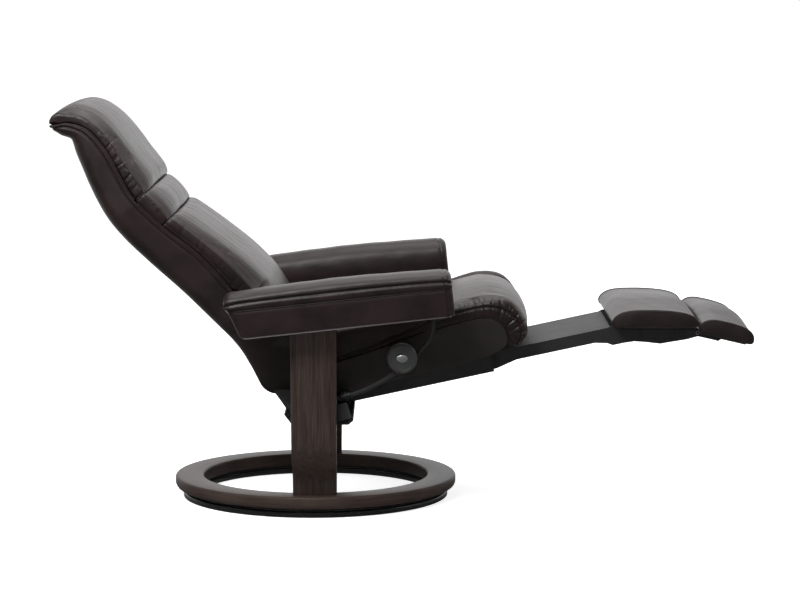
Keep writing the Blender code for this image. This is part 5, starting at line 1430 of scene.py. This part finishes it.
        rows = [offset_row(seam[1:7], BACK, side.value * 0.27, -0.0040, 150) for side in Side]
        Stitching().sew("back_stitches", rows, cushion, self.finishes.thread, "back_body")

    def shell(self) -> None:
        """The leather shell behind the pads, from the seat to the headrest's curled lip."""
        heights = np.unique(np.concatenate([
            np.linspace(-0.061, -0.020, 20), np.linspace(-0.020, 0.640, 190), np.linspace(0.640, 0.6990, 38)]))
        rear = rounded(self.rear, 400)
        seam = rounded(self.divide, 400)
        rings = []
        for height in heights:
            back = float(np.interp(height, rear[:, 0], rear[:, 1]))
            fore = float(np.interp(height, seam[:, 0], seam[:, 1])) - 0.0004
            fore += 0.0045 * float(step_up(height, 0.668, 0.690) * (1 - step_up(height, 0.692, 0.699)))
            foot = 1 - step_up(np.array(height), 0.085, 0.150)
            fore = fore + foot * (float(np.interp(height, (-0.061, -0.044, -0.022), (-0.052, -0.022, -0.004))) - fore)
            fore = max(fore, back + 0.0016)
            least = 0.2554 if height < 0.3 else 0.0
            half = max(least, float(self.half_width(np.array(height))) + 0.0006)
            low = min(max((-0.051 - height) / 0.010, 0.0), 1.0)
            half -= 0.0070 * (1 - math.sqrt(1 - low * low))
            rings.append(self.ring(float(height), half, fore, back))
        shell = lofted("leather_shell", rings)
        points, normals = points_of(shell.data), normals_of(shell.data)
        line = [(offset - 0.0095, height) for height, offset in self.divide[2:]]
        move = Seam(line, from_y=0.215, width=0.0022, depth=0.0024).cut(BACK, points, normals)
        a, y, b = BACK.local(points)
        move += 0.0007 * np.sin(b * 37 + y * 8) * np.sin(y * 19 + b * 11 + 0.6)
        set_points(shell.data, points + normals * move[:, None])
        dress(shell, self.finishes.shell_leather)
        start = BACK.world(np.array(-0.095), np.array(0.0), np.array(0.436))
        end = BACK.world(np.array(-0.095), np.array(0.0), np.array(0.484))
        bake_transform(shell)
        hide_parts("back_shell", "head_shell")

    def ring(self, height: float, half: float, fore: float, back: float) -> np.ndarray:
        """Returns the shell's section at a height.

        Args:
            height: the height along the back.
            half: its half width.
            fore: the offset of its front.
            back: the offset of its rear.

        Returns:
            The section's points.
        """
        depth = fore - back
        round_rear = min(0.014 + 0.016 * float(step_up(np.array(height), 0.0, 0.160)), depth * 0.62)
        round_fore = min(0.0025, depth * 0.30)
        wall = depth - round_fore - round_rear
        turns = [(math.sin(t), math.cos(t)) for t in np.linspace(0, math.pi / 2, 12)]
        half_ring = [(half - round_fore * (1 - sin), fore - round_fore * (1 - cos)) for sin, cos in turns]
        half_ring += [(half, fore - round_fore - wall * t) for t in np.linspace(0, 1, 56)[1:-1]]
        half_ring += [
            (half - round_rear * (1 - cos), back + round_rear * (1 - sin) + self.bulge * sin) for sin, cos in turns]
        side = [(t, fore) for t in np.linspace(-half + round_fore, half - round_fore, 30)] + half_ring
        side += [((half - round_rear) * t, back + self.bulge * t * t) for t in np.linspace(1, -1, 42)[1:-1]]
        side += [(-across, offset) for across, offset in half_ring[:0:-1]]
        places = np.array(side)
        return BACK.world(places[:, 1], places[:, 0], np.full(len(places), height))

    def welts(self) -> None:
        """The thin cords that close the seam between the pads and the shell."""
        seam = rounded(self.divide, 240)
        parts = (("back", 0.097, 0.4560, "back_body"), ("head", 0.4610, 0.6900, "headrest_body"))
        for side in Side:
            for word, low, high, body in parts:
                part = seam[(seam[:, 0] > low) & (seam[:, 0] < high)]
                y = side.value * (self.half_width(part[:, 0]) - 0.0008)
                cord = swept(f"{word}_welt_{side.word}", BACK.world(part[:, 1] + 0.0004, y, part[:, 0]), 0.0017, 8)
                deliver(cord, self.finishes.shell_leather, None, body, "leather")

    def build(self) -> None:
        """Builds the back and the headrest."""
        self.pads()
        self.shell()
        self.welts()
        LOG.info("back built")


@dataclass
class Footrest:
    """The two foot pads, each with flat sides, a crowned top and a seam along the sides' edges."""

    finishes: Finishes
    half_w: float = 0.220
    crown: float = 0.0110
    main_line: Line = (
        (0.6500, 0.3985), (0.7000, 0.3980), (0.7700, 0.3980), (0.8080, 0.3985), (0.8215, 0.4010), (0.8240, 0.4080),
        (0.8190, 0.4180), (0.8080, 0.4265), (0.7900, 0.4330), (0.7650, 0.4370), (0.7350, 0.4390), (0.7050, 0.4392),
        (0.6800, 0.4380), (0.6600, 0.4330), (0.6470, 0.4240), (0.6405, 0.4130), (0.6420, 0.4030))
    end_line: Line = (
        (0.0000, -0.0040), (0.0350, -0.0044), (0.0750, -0.0044), (0.1000, -0.0040), (0.1090, -0.0010),
        (0.1105, 0.0070), (0.1070, 0.0180), (0.0980, 0.0265), (0.0840, 0.0320), (0.0620, 0.0346), (0.0400, 0.0350),
        (0.0200, 0.0336), (0.0050, 0.0280), (-0.0040, 0.0190), (-0.0070, 0.0090), (-0.0050, 0.0005))

    def slab(self, name: str, line: Line, plane: Plane, body: str, node: str) -> None:
        """Draws one pad.

        Args:
            name: the piece's name.
            line: its outline from the side.
            plane: the plane that the outline lies in.
            body: the body that it moves with.
            node: the solid that it stands for.
        """
        outline = rounded(line, 150, closed=True)
        middle = outline.mean(axis=0)
        low, high = outline[:, 1].min(), outline[:, 1].max()
        up = (outline[:, 1] - low) / (high - low)
        along = (outline[:, 0] - outline[:, 0].min()) / np.ptp(outline[:, 0])
        pull = outline - middle
        pull /= np.linalg.norm(pull, axis=1)[:, None]
        edge, flat_y = 0.0016, self.half_w - 0.012
        steps = [(y, 0.0) for y in np.linspace(0, flat_y, 60)]
        steps += [(self.half_w - step, 0.0) for step in (0.009, 0.006, 0.0035)]
        steps += [
            (self.half_w - edge * (1 - math.sin(t)), edge * (1 - math.cos(t))) for t in np.linspace(0, math.pi / 2, 5)]
        steps += [
            (self.half_w - edge / 2 + 0.0022 * math.sin(math.pi / 2 * t), edge + 0.020 * t)
            for t in (0.02, 0.05, 0.12, 0.3, 0.6)]
        rings = []
        for y, inset in [(-y, i) for y, i in steps[::-1]] + steps[1:]:
            ripple = 0.0003 * np.sin(y * 55 + along * 7) * np.sin(along * 13 + 0.8)
            swell = self.crown * (bell(np.array(y), 0.15) - 0.6) * up + ripple * up * (abs(y) < flat_y)
            ring = outline - pull * inset
            rings.append(plane.world(ring[:, 0], np.full(len(ring), y), ring[:, 1] + swell))
        pad = lofted(name, rings)
        dress(pad, self.finishes.foot_leather)
        pad.data.materials.append(self.finishes.cheek_leather)
        centres = np.zeros(len(pad.data.polygons) * 3, np.float32)
        pad.data.polygons.foreach_get("center", centres)
        side = np.abs(centres.reshape(-1, 3)[:, 1]) > self.half_w - 0.0006
        pad.data.polygons.foreach_set("material_index", side.astype(np.int32))
        settle(pad, body, "leather", node)
        for way in Side:
            grown = outline + pull * 0.0004
            y = self.half_w - 0.0030
            lift = self.crown * (float(bell(np.array(y), 0.15)) - 0.6) * ((grown[:, 1] - low) / (high - low))
            route = plane.world(grown[:, 0], np.full(len(grown), way.value * y), grown[:, 1] + lift)
            bead = swept(f"{name}_piping_{way.word}", route, 0.0013, 8, closed=True)
            deliver(bead, self.finishes.cheek_leather, None, body, "leather")

    def links(self) -> None:
        """The steel links between the beam's sides and the foot pad's hinge."""
        outline = [(0.6080, 0.3560), (0.6230, 0.3830), (0.6420, 0.3930), (0.6600, 0.3945)]
        outline += [(0.6840 + 0.0178 * math.sin(t), 0.3760 + 0.0178 * math.cos(t)) for t in np.linspace(0, math.pi, 14)]
        outline += [(0.6600, 0.3545)]
        for side in Side:
            plate("beam_link", outline, (0.1474, 0.1496, 0.1503), side, self.finishes.black_steel, "leg_beam_body")

    def build(self) -> None:
        """Builds the pads and the links."""
        self.slab("stuffed_foot_pad", self.main_line, CHAIR, "foot_pad_body", "foot_pad")
        self.slab("stuffed_end_pad", self.end_line, END, "end_pad_body", "end_pad")
        self.links()
        LOG.info("foot pads built")


@dataclass
class Controls:
    """The guide tubes, their collars and the friction knobs."""

    finishes: Finishes
    guide_r: float = 0.3365
    guide_y: float = 0.3090
    tube_r: float = 0.0052
    knob_x: float = -0.0031282
    knob_z: float = 0.3470265
    knob_face: float = 0.3168
    knob_r: float = 0.0320
    knob_depth: float = 0.0200

    def tube(self, side: Side) -> None:
        """A guide tube in one smooth bend, with its flange under the arm."""
        word = side.word
        angles = np.radians(np.linspace(4.5, 53.0, 15))
        places = [(GLIDE_X + self.guide_r * math.sin(t), GLIDE_Z - self.guide_r * math.cos(t)) for t in angles]
        last_x, last_z = places[-1]
        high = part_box(f"guide_tube_{word}")[1][2]
        top_x = SWIVEL_X + 0.2570
        run, rise = top_x - last_x, high - 0.0035 - last_z
        places += [(last_x + run * a, last_z + rise * b) for a, b in ((0.62, 0.32), (0.92, 0.62), (1.0, 1.0))]
        route = rounded([(x, side.value * self.guide_y, z) for x, z in places], 130)
        tube = swept(f"bent_tube_{word}", route, self.tube_r, 18)
        deliver(tube, self.finishes.black_steel, 50, "base_body", "black_steel", f"guide_tube_{word}")
        profile = [(self.tube_r, -0.0030), (0.0108, -0.0030), (0.0112, -0.0024), (0.0112, 0.0), (self.tube_r, 0.0)]
        flange = revolved(f"tube_flange_{word}", profile, 40, (0, 0, 0))
        place = Matrix.Translation((top_x, side.value * self.guide_y, high - 0.0006))
        flange.data.transform(place @ Matrix.Rotation(-ARM.turn, 4, "Y"))
        deliver(flange, self.finishes.black_steel, 30, "base_body", "black_steel")

    def clamp(self, side: Side) -> None:
        """The rear clamp: a sleeve on the tube with a collar, and the lug that carries the seat."""
        word = side.word
        turn = math.radians(16.4)
        x = GLIDE_X + self.guide_r * math.sin(turn)
        z = GLIDE_Z - self.guide_r * math.cos(turn)
        place = Matrix.Translation((x, side.value * self.guide_y, z)) @ Matrix.Rotation(math.pi / 2 - turn, 4, "Y")
        profile = [(0.0058, -0.0110), (0.0076, -0.0110), (0.0082, -0.0100), (0.0082, -0.0030), (0.0098, -0.0028),
                   (0.0102, -0.0022), (0.0102, 0.0022), (0.0098, 0.0028), (0.0082, 0.0030), (0.0082, 0.0100),
                   (0.0076, 0.0110), (0.0058, 0.0110)]
        sleeve = revolved(f"clamp_sleeve_{word}", profile, 40, (0, 0, 0))
        sleeve.data.transform(place)
        deliver(sleeve, self.finishes.black_plastic, 30, "seat_body", "black_plastic", f"guide_clamp_rear_{word}")
        inner = min(abs(corner[1]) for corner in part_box(f"guide_clamp_rear_{word}"))
        rings = []
        outer = self.guide_y - 0.0060
        for y, size in ((inner, 0.0100), (inner + 0.002, 0.0110), (outer - 0.010, 0.0085), (outer, 0.0068)):
            ring = [(size * math.cos(math.tau * t / 28), 0.8 * size * math.sin(math.tau * t / 28)) for t in range(28)]
            rings.append([(x + a, side.value * y, z + b) for a, b in ring])
        lug = lofted(f"clamp_lug_{word}", rings)
        deliver(lug, self.finishes.black_plastic, 40, "seat_body", "black_plastic")

    def gusset(self, side: Side) -> None:
        """The steel web that rises from the channel's end behind the upright."""
        outline = [(-0.0800, 0.2700), (-0.0690, 0.2730), (-0.0300, 0.2720), (0.0000, 0.2600), (0.0120, 0.2320),
                   (0.0000, 0.2080), (-0.0300, 0.2060), (-0.0472, 0.2224), (-0.0556, 0.2353), (-0.0662, 0.2503)]
        plate("channel_gusset", outline, (0.2755, 0.2783, 0.2790), side, self.finishes.black_steel, "base_body")

    def knob(self, side: Side) -> None:
        """A round knob with a soft rim, a fine groove and a silver insert."""
        word = side.word
        r, d = self.knob_r, self.knob_depth
        profile = [
            (0.0045, 0.0), (r * 0.86, 0.0), (r * 0.95, 0.0012), (r * 0.985, 0.0040), (r, 0.0080), (r * 0.995, 0.0125),
            (r * 0.965, 0.0160), (r * 0.90, 0.0186), (r * 0.83, 0.0196), (r * 0.80, 0.0190), (r * 0.78, 0.0192),
            (r * 0.62, 0.0198), (r * 0.30, d), (0.0, d)]
        centre = (self.knob_x, side.value * self.knob_face, self.knob_z)
        made = revolved(f"turned_knob_{word}", profile, 72, centre, "Y", side.value)
        deliver(made, self.finishes.knob_plastic, 40, f"knob_body_{word}", "knob_plastic", f"knob_{word}")
        rows = []
        work = bmesh.new()
        turns = [math.tau * step / 40 for step in range(40)]
        for scale, height in ((1.0, 0.0), (1.0, 0.0012), (0.93, 0.0018), (0.80, 0.0021), (0.45, 0.0024), (0.0, 0.0025)):
            y = side.value * (self.knob_face + d + 0.0001 + height)
            ring = [(0.0117 * scale * math.cos(t), 0.0083 * scale * math.sin(t)) for t in turns]
            rows.append([work.verts.new((self.knob_x + a, y, self.knob_z + b)) for a, b in ring])
        work.faces.new(rows[0])
        for first, second in zip(rows, rows[1:]):
            band(work, first, second)
        cap = from_work(f"knob_insert_{word}", work)
        deliver(cap, self.finishes.silver, 50, f"knob_body_{word}", "silver", f"knob_cap_{word}")

    def build(self) -> None:
        """Builds the controls on both sides."""
        for side in Side:
            self.tube(side)
            self.clamp(side)
            self.gusset(side)
            self.knob(side)
        LOG.info("controls built")


@dataclass
class Rivets:
    """Round rivet heads, set on steel plates by geometry nodes."""

    finishes: Finishes
    radius: float = 0.0030
    height: float = 0.0010

    def place(self, name: str, places: Sequence[RGB], body: str) -> None:
        """Sets rivets whose heads face the chair's sides.

        Args:
            name: the piece's name.
            places: the rivets' middles.
            body: the body that they move with.
        """
        mesh = bpy.data.meshes.new(name + "_points")
        mesh.from_pydata([tuple(place) for place in places], [], [])
        rivets = Copies("rivets", {"Radius": self.radius, "Flatness": self.height / self.radius})
        given = rivets.given
        inputs = {"Segments": 16, "Rings": 8, "Radius": given["Radius"]}
        head = rivets.node("GeometryNodeMeshUVSphere", None, inputs).outputs["Mesh"]
        scale = rivets.node("ShaderNodeCombineXYZ", None, {"X": 1.0, "Y": given["Flatness"], "Z": 1.0}).outputs[0]
        shape = rivets.node("GeometryNodeTransform", None, {"Geometry": head, "Scale": scale}).outputs["Geometry"]
        inputs = {"Points": given["Places"], "Instance": shape}
        finish = self.finishes.dark_steel
        made = rivets.lay(name + "_heads", bpy.data.objects.new(name, mesh), inputs, finish)
        deliver(made, finish, 40, body, "black_steel")

    def build(self) -> None:
        """Sets the rivets of the foot pads' bracket and of the hinge plates."""
        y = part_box("pad_bracket")[1][1] + 0.0002
        x = SWIVEL_X
        places = [(x + 0.684, s * y, 0.376) for s in (-1, 1)] + [(x + 0.829, s * y, 0.377) for s in (-1, 1)]
        places += [(x + a, s * y, 0.372) for a in (0.735, 0.775) for s in (-1, 1)]
        self.place("bracket_rivets", places, "foot_pad_body")
        plates = []
        for side in Side:
            for a, b in ((0.034, -0.078), (0.090, -0.078)):
                point = SEAT.world(np.array(a), np.array(side.value * 0.2603), np.array(b))
                plates.append(tuple(float(part) for part in point))
        self.place("plate_rivets", plates, "seat_body")
        LOG.info("rivets built")


class Carried:
    """The solids that keep their shape and take a finish."""

    SLOTS = {
        "black_steel": (
            "cross_channel", "seat_tray", "leg_housing", "leg_beam", "pad_bracket", "end_bracket"),
        "dark_steel": (
            "hinge_plate_right", "hinge_plate_left", "back_bracket_right", "back_bracket_left", "upper_race"),
        "bright_steel": (
            "ball_cage", "back_hinge_pin_right", "back_hinge_pin_left", "neck_hinge_rod",
            "actuator_tube", "actuator_rod", "foot_hinge_pin", "end_hinge_pin", "clamp_bolt_right",
            "clamp_bolt_left"),
        "black_plastic": (
            "guide_clamp_front_right", "guide_clamp_front_left", "guide_clamp_rear_right", "guide_clamp_rear_left",
            "leg_motor", "power_inlet", "switch_plate", "foot_pad_board", "end_pad_board"),
        "knob_plastic": ("button_out", "button_in"),
        "side_leather": ("seat_side_panel_right", "seat_side_panel_left"),
        "board": ("seat_pan",),
        "lining": ("back_frame", "head_frame"),
    }

    def __init__(self, finishes: Finishes) -> None:
        """Keeps the finishes."""
        self.finishes = finishes

    def build(self) -> None:
        """Gives each solid its finish."""
        for finish, names in self.SLOTS.items():
            for name in names:
                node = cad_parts[name]
                for slot in node.material_slots:
                    slot.material = getattr(self.finishes, finish)
                if not node.material_slots:
                    node.data.materials.append(getattr(self.finishes, finish))
        LOG.info("solids dressed")


# Studio


@dataclass
class Studio:
    """The pale floor, the soft light and the camera."""

    camera_place: RGB = (-0.0075, -6.31, 1.162)
    pitch: float = 6.6
    lens: float = 129.645
    sensor: float = 36.0
    ambient: float = 0.15
    floor_glow: float = 0.82
    floor_half: float = 30.0

    def camera(self) -> None:
        """The camera at the photograph's viewing angle."""
        data = bpy.data.cameras.new("camera")
        data.lens = self.lens
        data.sensor_width = self.sensor
        data.clip_end = 60.0
        made = bpy.data.objects.new("camera", data)
        made.location = self.camera_place
        made.rotation_euler = (math.radians(90.0 - self.pitch), 0.0, 0.0)
        bpy.context.scene.collection.objects.link(made)
        bpy.context.scene.camera = made

    def lamp(self, name: str, place: RGB, target: RGB, size: float, power: float) -> None:
        """A square soft lamp that faces a point."""
        data = bpy.data.lights.new(name, "AREA")
        data.shape = "SQUARE"
        data.size = size
        data.energy = power
        made = bpy.data.objects.new(name, data)
        made.location = place
        made.rotation_euler = (Vector(target) - Vector(place)).to_track_quat("-Z", "Y").to_euler()
        bpy.context.scene.collection.objects.link(made)

    @staticmethod
    def seen(nodes: Nodes, path: bpy.types.Node, space: str, low: float, high: float) -> Value:
        """Returns 1 for the rays that see the pale background: those of the camera, and clear and reflected ones.

        Args:
            nodes: the node tree.
            path: its Light Path node.
            space: Object for places on the floor, Generated for directions in the world.
            low: the place or direction on the second axis below which reflections show the dim side of the room.
            high: the one above which they show the pale backdrop.

        Returns:
            The share, from 0 to 1.
        """
        place = nodes.node("ShaderNodeTexCoord").outputs[space]
        across = Value(nodes, nodes.node("ShaderNodeSeparateXYZ", None, {0: place}).outputs["Y"])
        kinds = ("Camera", "Transmission", "Glossy")
        camera, clear, glossy = (Value(nodes, path.outputs[f"Is {kind} Ray"]) for kind in kinds)
        return camera.most(clear).most(glossy * across.ramp(low, high))

    def floor(self) -> None:
        """A floor that shows white and keeps a soft shadow."""
        work = bmesh.new()
        bmesh.ops.create_grid(work, x_segments=1, y_segments=1, size=self.floor_half)
        mesh = bpy.data.meshes.new("floor")
        work.to_mesh(mesh)
        work.free()
        made = piece_of("floor", mesh)
        made.location = (0, 0, -0.0005)
        material = bpy.data.materials.new("floor")
        material.use_nodes = True
        nodes = Nodes(material.node_tree)
        path = nodes.node("ShaderNodeLightPath")
        seen = self.seen(nodes, path, "Object", -0.4, 1.6)
        unreflected = 1.0 - Value(nodes, path.outputs["Is Glossy Ray"])
        tone = nodes.mixed((0.10, 0.10, 0.10), (0.80, 0.80, 0.80), seen.most(unreflected))
        plain = nodes.node("ShaderNodeBsdfDiffuse", None, {"Color": tone}).outputs[0]
        place = nodes.node("ShaderNodeTexCoord").outputs["Object"]
        reach = nodes.node("ShaderNodeVectorMath", {"operation": "LENGTH"}, {0: place}).outputs["Value"]
        inputs = {"Value": reach, "From Min": 1.2, "From Max": 4.0, "To Min": self.floor_glow, "To Max": 1.0}
        far = Value(nodes, nodes.node("ShaderNodeMapRange", None, inputs).outputs["Result"])
        glow = nodes.node("ShaderNodeEmission", None, {"Color": WHITE, "Strength": seen * far}).outputs[0]
        both = nodes.node("ShaderNodeAddShader", None, {0: plain, 1: glow}).outputs[0]
        nodes.node("ShaderNodeOutputMaterial", None, {"Surface": both})
        made.data.materials.append(material)

    def world(self) -> None:
        """A world that shows white and lights the object softly."""
        world = bpy.data.worlds.new("studio")
        world.use_nodes = True
        nodes = Nodes(world.node_tree)
        seen = self.seen(nodes, nodes.node("ShaderNodeLightPath"), "Generated", 0.20, 0.95)
        soft, white = (
            nodes.node("ShaderNodeBackground", None, {"Strength": strength, "Color": WHITE}).outputs[0]
            for strength in (self.ambient, 1.0))
        mix = nodes.node("ShaderNodeMixShader", None, {0: seen, 1: soft, 2: white}).outputs[0]
        nodes.node("ShaderNodeOutputWorld", None, {"Surface": mix})
        bpy.context.scene.world = world

    def build(self) -> None:
        """Sets up the studio."""
        bpy.context.scene.view_settings.view_transform = "Standard"
        self.camera()
        self.floor()
        self.world()
        middle = (0.0, 0.0, 0.45)
        self.lamp("top", (0.2, 0.5, 3.4), middle, 2.6, 80)
        self.lamp("front", (-0.8, -5.2, 1.9), middle, 2.2, 5)
        self.lamp("key", (-1.2, -2.3, 3.0), middle, 1.3, 120)
        self.lamp("end", (3.8, 0.2, 2.4), middle, 2.0, 60)
        self.lamp("head", (-3.4, -0.6, 2.6), middle, 1.8, 30)
        self.lamp("rim", (0.1, 4.4, 1.35), middle, 2.6, 14)


def main() -> None:
    """Builds the chair's pieces in order, then the studio."""
    logging.basicConfig(level=logging.INFO, format="%(message)s")
    finishes = Finishes()
    for part in (
            Base(finishes), Arms(finishes), Seat(finishes), Back(finishes), Footrest(finishes),
            Controls(finishes), Rivets(finishes), Carried(finishes), Studio()):
        part.build()


if __name__ == "__main__":
    main()
